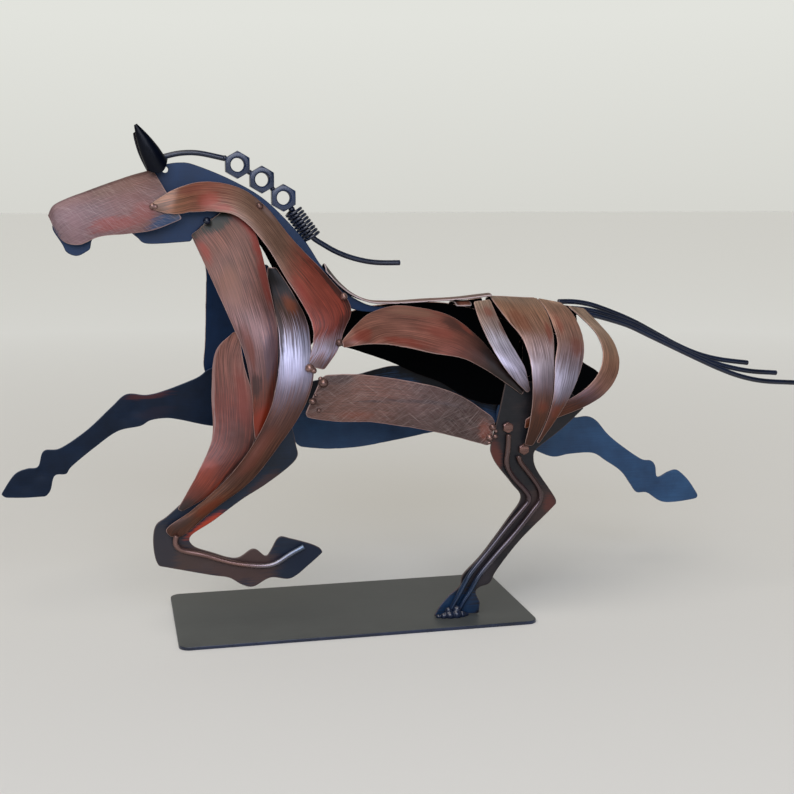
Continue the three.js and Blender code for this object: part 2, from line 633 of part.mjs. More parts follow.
// Tail: three rods that leave the top line side by side
const tailSpread = (rodDiameter + clearance) / step;
const tailRods = [
  [[127, 177.4], [133, 177.4], [139, 177], [148, 175.2], [157.3, 172], [167.1, 168.2], [176.9, 163.8],
    [191.8, 155.9], [204.8, 149.2], [217.8, 143.9], [230.9, 140.5], [250.6, 137.7]],
  [[134, 173.6], [145, 172.4], [155, 169.8], [165.8, 166.4], [175.7, 162.6], [190.5, 155],
    [203.4, 148.2], [216.4, 142.6], [230, 137.6], [249.2, 133.2], [268.3, 131.4]],
  [[136, 171.6], [146, 169.8], [159.8, 166], [169.5, 162.8], [179.4, 158.2], [195.6, 150.6],
    [215, 141.6], [228.1, 135.8], [241.2, 130.9], [256, 127.4], [279.4, 125.4]],
];
tailRods.forEach((points, i) => {
  const out = (1 - i) * tailSpread;
  addPart(`tail_rod_${i + 1}`, rod(points.map(([x, z]) => [x, out, z]), right), paints.navy);
});

// Rivet heads and weld beads on the near side
const buttons = {
  face_weld: [[-105.2, 11.6, 233], rivetDiameter],
  throat_bolt: [[-77, 6.4, 225.4], rivetDiameter],
  crest_rivet: [[-48.4, 5.4, 233.2], rivetDiameter],
  withers_rivet: [[-5.4, 23, 184.4], rivetDiameter],
  loin_weld: [[-10.4, 34.6, 160.6], rivetDiameter],
  shoulder_weld: [[-26.4, 38, 147.4], weldDiameter],
  girth_weld_1: [[-19.6, 37, 139.4], weldDiameter],
  girth_weld_2: [[-25.3, 36.6, 129.6], rivetDiameter],
  flank_weld_1: [[77.2, onHind + 0.4, 110.4], rivetDiameter],
  flank_weld_2: [[75.4, onHind + 0.4, 104.6], rivetDiameter],
};
for (const [name, [at, diameter]] of Object.entries(buttons)) {
  addPart(name, button(at, left, diameter), paints.umber);
}

export default group;
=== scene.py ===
import math

import bpy
import numpy as np
from mathutils import Matrix, Vector, geometry


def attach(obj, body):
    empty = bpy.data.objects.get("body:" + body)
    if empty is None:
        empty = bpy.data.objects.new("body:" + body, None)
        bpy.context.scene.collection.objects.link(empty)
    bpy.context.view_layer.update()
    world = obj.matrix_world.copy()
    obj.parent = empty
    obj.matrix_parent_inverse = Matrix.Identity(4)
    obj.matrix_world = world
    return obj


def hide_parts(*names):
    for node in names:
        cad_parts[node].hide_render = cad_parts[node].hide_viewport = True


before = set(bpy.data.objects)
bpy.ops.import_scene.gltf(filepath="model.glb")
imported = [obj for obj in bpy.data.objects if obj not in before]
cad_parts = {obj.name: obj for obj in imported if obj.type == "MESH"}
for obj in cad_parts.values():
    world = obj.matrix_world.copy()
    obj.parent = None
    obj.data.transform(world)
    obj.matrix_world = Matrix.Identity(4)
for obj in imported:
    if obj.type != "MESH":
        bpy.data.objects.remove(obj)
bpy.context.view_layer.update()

left, right = -1, 1
mm = 0.001

# What the stock and the fits are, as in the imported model
stock = {
    "plate": 1.5,
    "sheet": 1.0,
    "rod": 3.0,
    "clearance": 0.3,
    "nearFore": 27,      # how far the leg plates stand out from the middle plane
    "farFore": 26,
    "hind": 28.5,
}
lap = stock["plate"] / 2 + stock["clearance"] + stock["sheet"] / 2
rodLap = stock["plate"] / 2 + stock["clearance"] + stock["rod"] / 2
onNearFore = stock["nearFore"] + lap
onFarFore = stock["farFore"] + lap
onHind = stock["hind"] + lap


# Colours and nodes

def linear(hexColour):
    values = [int(hexColour[k:k + 2], 16) / 255 for k in (1, 3, 5)]
    return tuple(v / 12.92 if v <= 0.04045 else ((v + 0.055) / 1.055) ** 2.4 for v in values) + (1.0,)


def addNode(tree, kind, inputs=None, stops=None, **settings):
    node = tree.nodes.new("ShaderNode" + kind)
    for key, value in settings.items():
        setattr(node, key, value)
    for key, value in (inputs or {}).items():
        if isinstance(value, bpy.types.NodeSocket):
            tree.links.new(value, node.inputs[key])
        else:
            node.inputs[key].default_value = value
    for k, (place, colour) in enumerate(stops or []):
        element = node.color_ramp.elements[k] if k < 2 else node.color_ramp.elements.new(place)
        element.position = place
        element.color = linear(colour)
    return node


# Painted steel. The tones run along the piece or lie in clouds, the brush drags them out into
# streaks, spots of other colours lie on top, and the rim is worn. Spots are given as
# (u, v, half length, half width, turn in degrees, colour, strength): on strips and rods u and v are
# shares of the length and width, and on plates they are millimetres along X and Z.
# Some pieces' tones and spots also hold painted shade and painted highlights; each is noted where it is given.
paint = {
    "bristleLength": 28, "bristleWidth": 0.55,       # mm, real streaks are half as wide, drawn so that they show
    "hairLength": 16, "hairWidth": 0.28,             # mm, drawn twice as wide as real ones too
    "cloudSize": 20,                                 # mm
    "drag": 0.2,                                     # share of the length that the brush drags a tone
    "rimDepth": 0.42,                                # mm of worn rim
    "scratchLength": 18, "scratchWidth": 0.3,        # mm, drawn wider than real scratches so that they show
    "relief": 0.05,                                  # mm, depth of the brush marks
    "noise": (0.3, 0.7),                             # where most values of a noise lie
    "scratchNoise": (0.54, 0.7),                     # only its highest values are scratches
    "bristleInSpots": 0.9, "spotBreak": 1.7,         # how much brush and clouds break up the spots' edges
    "spotEdge": (2.15, 2.65),                        # where a spot starts to fade and where it ends
    "rimCloud": 0.7, "rimFrom": 0.4,                 # how unevenly the rim is worn
}


def paintedSteel(name, tones, spots=(), toneFrom="along", streak=0.5, hairs=0.34, clouds=0.2, scratches=0.0,
                 slants=(0.75, -0.6), roughness=(0.3, 0.42), metallic=0.25, rim=("#b8988e", 0.8), specular=0.45,
                 relief=1.0):
    material = bpy.data.materials.new(name)
    material.use_nodes = True
    tree = material.node_tree
    tree.nodes.clear()
    shader = addNode(tree, "BsdfPrincipled")
    addNode(tree, "OutputMaterial", {"Surface": shader.outputs[0]})
    share = addNode(tree, "UVMap", uv_map="share")
    flat = addNode(tree, "UVMap", uv_map="stock")
    place = addNode(tree, "TexCoord")
    bristleAt = addNode(tree, "VectorMath", {0: flat.outputs[0], 1: (
        1 / paint["bristleLength"], 1 / paint["bristleWidth"], 0)}, operation="MULTIPLY")
    bristle = addNode(tree, "TexNoise", {0: bristleAt.outputs[0], "Scale": 1, "Detail": 2.5, "Roughness": 0.5})
    hairAt = addNode(tree, "VectorMath", {0: flat.outputs[0], 1: (
        1 / paint["hairLength"], 1 / paint["hairWidth"], 0)}, operation="MULTIPLY")
    hair = addNode(tree, "TexNoise", {0: hairAt.outputs[0], "Scale": 1, "Detail": 1})
    cloud = addNode(tree, "TexNoise", {0: place.outputs["Object"], "Scale": 1000 / paint["cloudSize"],
                                       "Detail": 6, "Roughness": 0.62})
    if toneFrom == "along":
        shares = addNode(tree, "SeparateXYZ", {0: share.outputs[0]})
        dragged = addNode(tree, "Math", {0: bristle.outputs[0], 1: paint["drag"], 2: shares.outputs[0]},
                          operation="MULTIPLY_ADD")
        centred = addNode(tree, "Math", {0: dragged.outputs[0], 1: paint["drag"] / 2}, operation="SUBTRACT")
        tone = addNode(tree, "ValToRGB", {0: centred.outputs[0]}, stops=tones)
    else:
        tone = addNode(tree, "ValToRGB", {0: cloud.outputs[0]}, stops=tones)
    colour = tone.outputs[0]
    for texture, depth in ((bristle, streak), (hair, hairs), (cloud, clouds)):
        if depth:
            grain = addNode(tree, "MapRange", {0: texture.outputs[0], 1: paint["noise"][0], 2: paint["noise"][1],
                                            3: 1 - depth, 4: 1 + depth})
            colour = addNode(tree, "Mix", {0: 1.0, 6: colour, 7: grain.outputs[0]}, data_type="RGBA",
                             blend_type="MULTIPLY").outputs[2]
    # The edges of the spots are broken up by the brush and by the clouds
    broken = addNode(tree, "Math", {0: bristle.outputs[0], 1: paint["bristleInSpots"], 2: cloud.outputs[0]},
                     operation="MULTIPLY_ADD")
    for u, v, halfLength, halfWidth, turn, spotColour, strength in spots:
        apart = addNode(tree, "VectorMath", {0: share.outputs[0], 1: (u, v, 0)}, operation="SUBTRACT")
        turned = addNode(tree, "VectorRotate", {0: apart.outputs[0], 3: -math.radians(turn)}, rotation_type="Z_AXIS")
        scaled = addNode(tree, "VectorMath", {0: turned.outputs[0], 1: (1 / halfLength, 1 / halfWidth, 0)},
                         operation="MULTIPLY")
        reach = addNode(tree, "VectorMath", {0: scaled.outputs[0]}, operation="LENGTH")
        uneven = addNode(tree, "Math", {0: broken.outputs[0], 1: paint["spotBreak"], 2: reach.outputs["Value"]},
                         operation="MULTIPLY_ADD")
        mask = addNode(tree, "MapRange", {0: uneven.outputs[0], 1: paint["spotEdge"][0], 2: paint["spotEdge"][1],
                                          3: strength, 4: 0.0})
        colour = addNode(tree, "Mix", {0: mask.outputs[0], 6: colour, 7: linear(spotColour)},
                         data_type="RGBA").outputs[2]
    if scratches:
        # Fine scratches that cross each other, left by wire wool
        for slant in slants:
            scratchTurn = addNode(tree, "VectorRotate", {0: flat.outputs[0], 3: slant}, rotation_type="Z_AXIS")
            scratchAt = addNode(tree, "VectorMath", {0: scratchTurn.outputs[0], 1: (
                1 / paint["scratchLength"], 1 / paint["scratchWidth"], 0)}, operation="MULTIPLY")
            scratch = addNode(tree, "TexNoise", {0: scratchAt.outputs[0], "Scale": 1, "Detail": 3, "Roughness": 0.7})
            mask = addNode(tree, "MapRange", {0: scratch.outputs[0], 1: paint["scratchNoise"][0],
                                              2: paint["scratchNoise"][1], 3: 0.0, 4: scratches})
            colour = addNode(tree, "Mix", {0: mask.outputs[0], 6: colour, 7: linear("#b3a09a")},
                             data_type="RGBA").outputs[2]
    edge = addNode(tree, "Attribute", attribute_name="rim")
    uneven = addNode(tree, "Math", {0: cloud.outputs[0], 1: paint["rimCloud"], 2: edge.outputs["Fac"]},
                     operation="MULTIPLY_ADD")
    rimMask = addNode(tree, "MapRange", {0: uneven.outputs[0], 1: paint["rimFrom"],
                                         2: paint["rimFrom"] + paint["rimDepth"], 3: rim[1], 4: 0.0})
    colour = addNode(tree, "Mix", {0: rimMask.outputs[0], 6: colour, 7: linear(rim[0])}, data_type="RGBA").outputs[2]
    gloss = addNode(tree, "MapRange", {0: cloud.outputs[0], 1: paint["noise"][0], 2: paint["noise"][1],
                                       3: roughness[0], 4: roughness[1]})
    tree.links.new(colour, shader.inputs["Base Color"])
    tree.links.new(gloss.outputs[0], shader.inputs["Roughness"])
    if relief:
        marks = addNode(tree, "Math", {0: hair.outputs[0], 1: 0.6, 2: bristle.outputs[0]}, operation="MULTIPLY_ADD")
        bumps = addNode(tree, "Bump", {"Strength": 0.4 * relief, "Distance": paint["relief"] * mm,
                                       "Height": marks.outputs[0]})
        tree.links.new(bumps.outputs[0], shader.inputs["Normal"])
    shader.inputs["Metallic"].default_value = metallic
    shader.inputs["Specular IOR Level"].default_value = specular
    return material


def enamel(name, dark, pale, roughness, specular, rim=("#10182a", 0.0), spots=(), streak=0.06, hairs=0.06):
    return paintedSteel(name, [(0.3, dark), (0.7, pale)], spots, toneFrom="cloud", streak=streak, hairs=hairs,
                        clouds=0.1, metallic=0, roughness=roughness, rim=rim, specular=specular, relief=0)


# Painted shade on the insides: the dark navy primer made near black and matt, so that they read as deep shade
inside = enamel("enamelInsidePaintedShade", "#010203", "#030407", (0.7, 0.8), 0.03, ("#33241f", 0.35))
# Navy brushed on flat plates: satin, an even blue with a darker rim
navy = enamel("enamelNavyPlate", "#0c2543", "#122e50", (0.42, 0.52), 0.3, ("#0a1322", 0.6))
# The same navy, thick on rods and spring: darker, with narrow highlights
navyGloss = enamel("enamelNavyRod", "#0a1120", "#111c33", (0.16, 0.26), 0.55)
# On the nuts it is a shade paler, and their chamfers catch the light
navyNut = enamel("enamelNavyNut", "#101c33", "#182946", (0.2, 0.3), 0.6)
# On the ears it is almost black
navyEar = enamel("enamelNavyEar", "#01030b", "#030714", (0.26, 0.34), 0.12)
# Grey-green powder coat on the base: satin and even, with a navy rim
slate = enamel("enamelSlateBase", "#3e4140", "#444745", (0.42, 0.5), 0.5, ("#2c3445", 0.8))
baseRim = enamel("enamelNavyBaseRim", "#141c2c", "#1d2740", (0.22, 0.32), 0.5)
# Navy on the far legs: satin, faintly brushed, with paler worn edges. On the foreleg it is made much darker than on the
# hind leg: painted shade, as it stands in the shade of the chest
farForeFinish = enamel("enamelNavyFarForelegPaintedShade", "#020f20", "#06192f", (0.36, 0.5), 0.18, ("#38485f", 0.5), streak=0.12,
                       spots=[(-110, 127, 14, 2.5, 5, "#4e2422", 0.6), (-108, 116, 12, 4, 10, "#201a28", 0.5)])
farHindFinish = enamel("enamelNavyFarHindLeg", "#1d3a5a", "#264769", (0.34, 0.48), 0.35, ("#41506a", 0.5), streak=0.12,
                       spots=[(124, 100, 10, 14, 0, "#141b2a", 0.6)])
print("stage: finishes made")


# Curves

def bendThrough(places, shares):
    # The centripetal curve through the places, at shares of its whole
    places = np.asarray(places, float)
    spans = len(places) - 1
    whole = np.minimum((shares * spans).astype(int), spans - 1)
    part = (shares * spans - whole)[:, None]
    ends = np.vstack([2 * places[0] - places[1], places, 2 * places[-1] - places[-2]])
    a, b, c, d = (ends[whole + k] for k in range(4))
    ab, bc, cd = (np.sqrt(np.linalg.norm(q - p, axis=1))[:, None] for p, q in ((a, b), (b, c), (c, d)))
    leave = ((b - a) / ab - (c - a) / (ab + bc) + (c - b) / bc) * bc
    arrive = ((c - b) / bc - (d - b) / (bc + cd) + (d - c) / cd) * bc
    return (b + leave * part + (3 * (c - b) - 2 * leave - arrive) * part ** 2
            + (2 * (b - c) + leave + arrive) * part ** 3)


def eased(points, passes):
    # Takes the small kinks out of a row of points and keeps its ends
    points = points.copy()
    for _ in range(passes):
        points[1:-1] = (points[:-2] + 2 * points[1:-1] + points[2:]) / 4
    return points


def runOf(points):
    # Length along rows of points, from the first one
    steps = np.linalg.norm(np.diff(points, axis=-2), axis=-1)
    return np.concatenate([np.zeros(steps.shape[:-1] + (1,)), np.cumsum(steps, axis=-1)], axis=-1)


railSteps = 241         # points worked out on a rail
railPasses = 12         # how often it is eased


def rail(places):
    # A smooth rail: a function from shares to points
    fine = np.linspace(0, 1, railSteps)
    points = eased(bendThrough(places, fine), railPasses)
    return lambda shares: np.stack([np.interp(shares, fine, points[:, k]) for k in range(3)], -1)


def ripple(points, size, seed):
    # A smooth unevenness between -1 and 1 with waves about as long as size
    total = 0
    for k in range(4):
        turn = seed * 1.7 + k * 2.1
        way = np.array([math.cos(turn), math.sin(turn * 1.3), math.sin(turn)])
        total = total + np.sin(points @ way * (2 * math.pi / size) * (0.8 + 0.2 * k) + seed * 3.1 + k)
    return total / 4


# Meshes

def pieceName(node):
    first, *rest = node.split("_")
    return first + "".join(word.capitalize() for word in rest)


def makePiece(name, points, faces, materials, slots=None, maps=None, rim=None, sharp=None):
    points = np.asarray(points, float)
    mesh = bpy.data.meshes.new(name)
    mesh.from_pydata((points * mm).tolist(), [], faces)
    for material in materials:
        mesh.materials.append(material)
    if slots is not None:
        mesh.polygons.foreach_set("material_index", np.asarray(slots, np.int32))
    corners = np.empty(len(mesh.loops), np.int32)
    mesh.loops.foreach_get("vertex_index", corners)
    for key in ("stock", "share"):
        values = np.asarray((maps or {}).get(key, points[:, [0, 2]]), np.float32)
        mesh.uv_layers.new(name=key).data.foreach_set("uv", values[corners].ravel())
    depth = np.full(len(points), 9.0) if rim is None else np.asarray(rim, float)
    mesh.attributes.new("rim", "FLOAT", "POINT").data.foreach_set("value", depth.astype(np.float32))
    mesh.polygons.foreach_set("use_smooth", np.ones(len(mesh.polygons), bool))
    mesh.validate()
    mesh.update()
    if sharp:
        mesh.set_sharp_from_angle(angle=math.radians(sharp))
    piece = bpy.data.objects.new(name, mesh)
    bpy.context.scene.collection.objects.link(piece)
    return piece


def dress(piece, node):
    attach(piece, "root")
    if node:
        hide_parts(node)
    return piece


# Sheets: a middle surface with its true thickness, a softly ground edge and two skins

rimSteps = np.array([0, 0.06, 0.16, 0.3, 0.7])      # mm from the rim, where rows of points lie
rimRound = 0.28                                     # mm, radius of the ground edge
sheetLook = {
    "ribSteps": 33,                # points worked out across the sheet
    "edgeWaves": (11, 4.3),        # mm, length of the long and the short waves in a cut edge
    "skinWaves": (31, 5.3),        # mm, and in the sheet itself
    "shortEdge": 0.6,              # height of the short waves in the edge, as a share of the long ones
    "shortSkin": 0.035,            # mm, height of the short waves in the sheet
    "cornerShare": 0.42,           # the corners' radius is no more than this share of the width
    "apart": (61, 37),             # mm, so that no two pieces show the same brush marks
}


def roundedHalf(thickness, depth):
    fall = 1 - np.minimum(depth / rimRound, 1)
    return thickness / 2 - rimRound + rimRound * np.sqrt(1 - fall ** 2)


def spreadShares(length, cells):
    near = np.minimum(rimSteps / length, np.linspace(0, 0.3, len(rimSteps)))
    middle = np.linspace(near[-1], 1 - near[-1], cells + 1)[1:-1]
    return np.concatenate([near, middle, 1 - near[::-1]])


def sheetPiece(node, surface, facing, materials, seed, alongCells=84, acrossCells=14, corner=1.2, wave=0.22,
               shake=(0.12, 0.12)):
    look = sheetLook
    fine = np.linspace(0, 1, railSteps)
    run = runOf(surface(fine, np.full((railSteps, 1), 0.5))[:, 0])
    length = run[-1]
    along = spreadShares(length, alongCells)
    places = np.interp(along, run / length, fine)
    fineAcross = np.linspace(0, 1, look["ribSteps"])
    ribs = surface(places, np.broadcast_to(fineAcross, (len(along), look["ribSteps"])))
    ribRuns = runOf(ribs)
    widths = np.maximum(ribRuns[:, -1], 0.4)
    fromEnd = np.minimum(along, 1 - along) * length
    radius = np.minimum(corner, look["cornerShare"] * widths)
    bite = radius - np.sqrt(np.maximum(radius ** 2 - np.maximum(radius - fromEnd, 0) ** 2, 0))
    across = np.stack([spreadShares(w, acrossCells) for w in widths])
    distance = np.minimum(across, 1 - across) * widths[:, None]
    long, short = look["edgeWaves"]
    low, high = (size * (ripple(ribs[:, k], long, seed + k)
                         + look["shortEdge"] * ripple(ribs[:, k], short, seed + 2 + k))
                 for k, size in ((0, shake[0]), (-1, shake[1])))
    low = (bite + low) / widths
    high = 1 - (bite + high) / widths
    spread = (low[:, None] + (high - low)[:, None] * across) * widths[:, None]
    spots = np.stack([np.interp(s, r, fineAcross) for s, r in zip(spread, ribRuns)])
    points = surface(places, spots)
    normals = np.cross(np.gradient(points, axis=0), np.gradient(points, axis=1))
    normals /= np.maximum(np.linalg.norm(normals, axis=2, keepdims=True), 1e-9)
    flip = normals.mean((0, 1)) @ np.asarray(facing, float) < 0
    if flip:
        normals = -normals
    long, short = look["skinWaves"]
    points = points + normals * (wave * ripple(points, long, seed)
                                 + look["shortSkin"] * ripple(points, short, seed + 5))[..., None]
    inward = np.minimum(distance, fromEnd[:, None])
    half = roundedHalf(stock["sheet"], inward)[..., None]
    rows, columns = inward.shape
    number = np.arange(rows * columns).reshape(rows, columns)
    a, b, c, d = number[:-1, :-1].ravel(), number[1:, :-1].ravel(), number[1:, 1:].ravel(), number[:-1, 1:].ravel()
    loop = np.concatenate([number[0, :], number[1:, -1], number[-1, -2::-1], number[-2:0:-1, 0]])
    after = np.roll(loop, -1)
    size = rows * columns
    top = np.stack([a, b, c, d], 1)
    bottom = np.stack([a, d, c, b], 1) + size
    wall = np.stack([loop, after, after + size, loop + size], 1)
    faces = np.concatenate([top, bottom, wall])
    if flip:
        faces = faces[:, ::-1]
    slots = np.concatenate([np.zeros(len(top)), np.ones(len(bottom)), np.zeros(len(wall))])
    flat = np.stack([np.broadcast_to(along[:, None] * length, (rows, columns)) + seed * look["apart"][0],
                     (across - 0.5) * widths[:, None] + seed * look["apart"][1]], -1).reshape(-1, 2)
    share = np.stack([np.broadcast_to(along[:, None], (rows, columns)), across], -1).reshape(-1, 2)
    maps = {"stock": np.concatenate([flat, flat]), "share": np.concatenate([share, share])}
    vertices = np.concatenate([(points + normals * half).reshape(-1, 3), (points - normals * half).reshape(-1, 3)])
    return makePiece(pieceName(node), vertices, faces.tolist(), materials, slots, maps,
                     np.concatenate([inward.ravel(), inward.ravel()]))


crownFade = 0.08        # share of the length over which the crown starts


def stripPiece(node, rows, side, crown, materials, seed, slot="rust_paint", **options):
    railA = rail([(x, side * out, z) for (x, out, z), _ in rows])
    railB = rail([(x, side * out, z) for _, (x, out, z) in rows])

    def surface(along, across):
        a, b = railA(along)[:, None], railB(along)[:, None]
        points = a + (b - a) * across[..., None]
        fade = np.sin(math.pi * np.clip(along, crownFade, 1 - crownFade))[:, None]
        points[..., 1] += side * crown * 4 * across * (1 - across) * fade
        return points

    return dress(sheetPiece(node, surface, (0, side, 0), materials, seed, **options), node)


# Flat plates: a cut outline with a soft edge, slightly out of flat, with dents where welds drew it in

plateLook = {
    "cutPitch": 0.9,               # mm between points on the outline
    "gridPitch": 2.2,              # mm between points inside
    "holeSides": 28,
    "warpWaves": (70, 11),         # mm, length of the long and the short waves
    "shortWarp": 0.05,             # mm, height of the short waves
}


def outlineOf(stretches):
    points = []
    for k, stretch in enumerate(stretches):
        ends = np.array(stretch + [stretches[(k + 1) % len(stretches)][0]], float)
        spans = len(ends) - 1
        steps = max(2, int(runOf(ends)[-1] / 0.8))
        shares = np.arange(steps) / steps * spans
        whole = np.minimum(shares.astype(int), spans - 1)
        part = (shares - whole)[:, None]
        held = np.vstack([ends[:1], ends, ends[-1:]])
        a, b, c, d = (held[whole + j] for j in range(4))
        leave, arrive = (c - a) / 2, (d - b) / 2
        points.append((2 * (b - c) + leave + arrive) * part ** 3 + (3 * (c - b) - 2 * leave - arrive) * part ** 2
                      + leave * part + b)
    points = np.concatenate(points)
    closed = np.vstack([points, points[:1]])
    run = runOf(closed)
    even = np.linspace(0, run[-1], max(12, int(run[-1] / plateLook["cutPitch"])) + 1)[:-1]
    loop = np.stack([np.interp(even, run, closed[:, k]) for k in range(2)], -1)
    loop = (np.roll(loop, 1, 0) + 2 * loop + np.roll(loop, -1, 0)) / 4
    x, z = loop.T
    return loop if np.sum(x * np.roll(z, -1) - np.roll(x, -1) * z) > 0 else loop[::-1]


def awayFrom(spots, loops):
    # Distance of each spot to the nearest edge of the loops
    nearest = np.full(len(spots), 1e9)
    for loop in loops:
        for a, b in zip(loop, np.roll(loop, -1, 0)):
            along = np.clip(((spots - a) @ (b - a)) / ((b - a) @ (b - a)), 0, 1)
            nearest = np.minimum(nearest, np.hypot(*(spots - a - along[:, None] * (b - a)).T))
    return nearest


def insideLoop(spots, loop):
    crossings = np.zeros(len(spots), int)
    for a, b in zip(loop, np.roll(loop, -1, 0)):
        spans = (a[1] > spots[:, 1]) != (b[1] > spots[:, 1])
        reach = a[0] + (spots[:, 1] - a[1]) * (b[0] - a[0]) / (b[1] - a[1] + 1e-12)
        crossings += spans & (spots[:, 0] < reach)
    return crossings % 2 == 1


def platePiece(node, stretches, side, out, materials, seed, holes=(), dents=(), warp=0.25):
    look = plateLook
    loops = [outlineOf(stretches)]
    for x, z, diameter in holes:
        angles = -np.linspace(0, 2 * math.pi, look["holeSides"], endpoint=False)
        loops.append(np.array([x, z]) + diameter / 2 * np.stack([np.cos(angles), np.sin(angles)], 1))

    def onPlate(spots):
        keep = insideLoop(spots, loops[0])
        for loop in loops[1:]:
            keep &= ~insideLoop(spots, loop)
        return keep

    # Points on the outline, on rows close behind it, and on a coarse grid inside
    spots, depths, links = [], [], []
    for loop in loops:
        start = sum(len(s) for s in spots)
        links += [(start + k, start + (k + 1) % len(loop)) for k in range(len(loop))]
        spots.append(loop)
        depths.append(np.zeros(len(loop)))
    pitch = look["gridPitch"]
    low, high = loops[0].min(0), loops[0].max(0)
    grid = np.stack(np.meshgrid(np.arange(low[0], high[0], pitch), np.arange(low[1], high[1], pitch)), -1)
    rows = [(grid.reshape(-1, 2), 1.6)]
    for depth in rimSteps[1:]:
        for loop in loops:
            way = np.roll(loop, -1, 0) - np.roll(loop, 1, 0)
            way /= np.linalg.norm(way, axis=1, keepdims=True)
            rows.append((loop + np.stack([-way[:, 1], way[:, 0]], 1) * depth, depth * 0.96))
    for row, least in rows:
        away = awayFrom(row, loops)
        keep = (away >= least) & onPlate(row)
        spots.append(row[keep])
        depths.append(away[keep])
    found, _, triangles, origins, _, _ = geometry.delaunay_2d_cdt(
        [Vector(p) for p in np.concatenate(spots)], links, [], 1, 1e-6)
    flat = np.array([tuple(p) for p in found])
    triangles = np.array(triangles)
    triangles = triangles[onPlate(flat[triangles].mean(1))]
    depth = np.concatenate(depths)[[o[0] for o in origins]]
    place = {o: k for k, group in enumerate(origins) for o in group}
    spread = np.stack([flat[:, 0], np.zeros(len(flat)), flat[:, 1]], 1)
    long, short = look["warpWaves"]
    level = side * out + warp * ripple(spread, long, seed) + look["shortWarp"] * ripple(spread, short, seed + 3)
    for x, z, size, deep in dents:
        level = level + deep * np.exp(-((flat[:, 0] - x) ** 2 + (flat[:, 1] - z) ** 2) / size ** 2)
    half = roundedHalf(stock["plate"], depth)
    count = len(flat)
    points = np.concatenate([np.stack([flat[:, 0], level + way * half, flat[:, 1]], 1) for way in (-1, 1)])
    near = [(a, b, c) for a, b, c in triangles.tolist()]
    far = [(a + count, c + count, b + count) for a, b, c in near]
    wall = [(place[b], place[a], place[a] + count, place[b] + count) for a, b in links]
    slots = [0 if side < 0 else 1] * len(near) + [1 if side < 0 else 0] * len(far) + [0] * len(wall)
    planar = np.concatenate([flat, flat])
    piece = makePiece(pieceName(node), points, near + far + wall, materials, slots,
                      {"stock": planar, "share": planar}, np.concatenate([depth, depth]))
    return dress(piece, node)


# Rods and wires

def tubePoints(path, diameter, sides):
    run = runOf(path)
    # Cut ends with a small ground edge
    fine = np.concatenate([[0, 0.12, 0.35, 0.8], run[(run > 1) & (run < run[-1] - 1)],
                           run[-1] - np.array([0.8, 0.35, 0.12, 0])])
    path = np.stack([np.interp(fine, run, path[:, k]) for k in range(3)], -1)
    radius = np.full(len(path), diameter / 2)
    radius[[0, -1]] *= 0.7
    radius[[1, -2]] *= 0.9
    way = np.gradient(path, axis=0)
    way /= np.linalg.norm(way, axis=1, keepdims=True)
    side = np.cross(way[0], (0, 1, 0) if abs(way[0][1]) < 0.9 else (1, 0, 0))
    angles = np.linspace(0, 2 * math.pi, sides, endpoint=False)
    rings = []
    for p, t, r in zip(path, way, radius):
        side = side - t * (side @ t)
        side /= np.linalg.norm(side)
        rings.append(p + r * (np.outer(np.cos(angles), side) + np.outer(np.sin(angles), np.cross(t, side))))
    number = np.arange(len(path) * sides).reshape(-1, sides)
    after = np.roll(number, -1, 1)
    faces = np.stack([number[:-1], after[:-1], after[1:], number[1:]], -1).reshape(-1, 4).tolist()
    faces += [number[0][::-1].tolist(), number[-1].tolist()]
    shares = np.stack([np.repeat(fine, sides), np.tile(angles * diameter / 2, len(path))], 1)
    maps = {"stock": shares, "share": shares / np.array([run[-1], math.pi * diameter])}
    return np.concatenate(rings), faces, maps


def evenPath(places, step=1.2):
    fine = bendThrough(places, np.linspace(0, 1, 30 * len(places)))
    run = runOf(fine)
    even = np.linspace(0, run[-1], max(8, int(run[-1] / step)))
    return eased(np.stack([np.interp(even, run, fine[:, k]) for k in range(3)], -1), 4)


def rodPiece(node, places, materials):
    points, faces, maps = tubePoints(evenPath(places), stock["rod"], 16)
    return dress(makePiece(pieceName(node), points, faces, materials, None, maps), node)


# Drops of weld metal and rivet heads

def dropPoints(centre, radius, tall, seed, lean=(0, -1, 0), skirt=0.3):
    turn = Vector(lean).normalized().to_track_quat("Z", "Y").to_matrix()
    rings, sides = 9, 20
    angles = np.linspace(0, 2 * math.pi, sides, endpoint=False)
    bump = 1 + 0.05 * np.sin(2 * angles + seed) + 0.035 * np.sin(3 * angles + 2.3 * seed)
    points = [np.stack([radius * bump * np.cos(angles), radius * bump * np.sin(angles),
                        np.full(sides, -skirt)], 1)]
    for tilt in np.linspace(0, math.pi / 2, rings)[:-1]:
        flat = radius * (1 + 0.1 * math.cos(tilt) ** 8) * math.cos(tilt) * bump
        level = np.full(sides, tall * math.sin(tilt))
        points.append(np.stack([flat * np.cos(angles), flat * np.sin(angles), level], 1))
    points = np.concatenate(points + [np.array([[0, 0, tall]])])
    number = np.arange(rings * sides).reshape(rings, sides)
    after = np.roll(number, -1, 1)
    faces = np.stack([number[:-1], after[:-1], after[1:], number[1:]], -1).reshape(-1, 4).tolist()
    faces += [[a, b, rings * sides] for a, b in zip(number[-1].tolist(), after[-1].tolist())]
    faces.append(number[0][::-1].tolist())
    return points @ np.array(turn).T + np.asarray(centre, float), faces


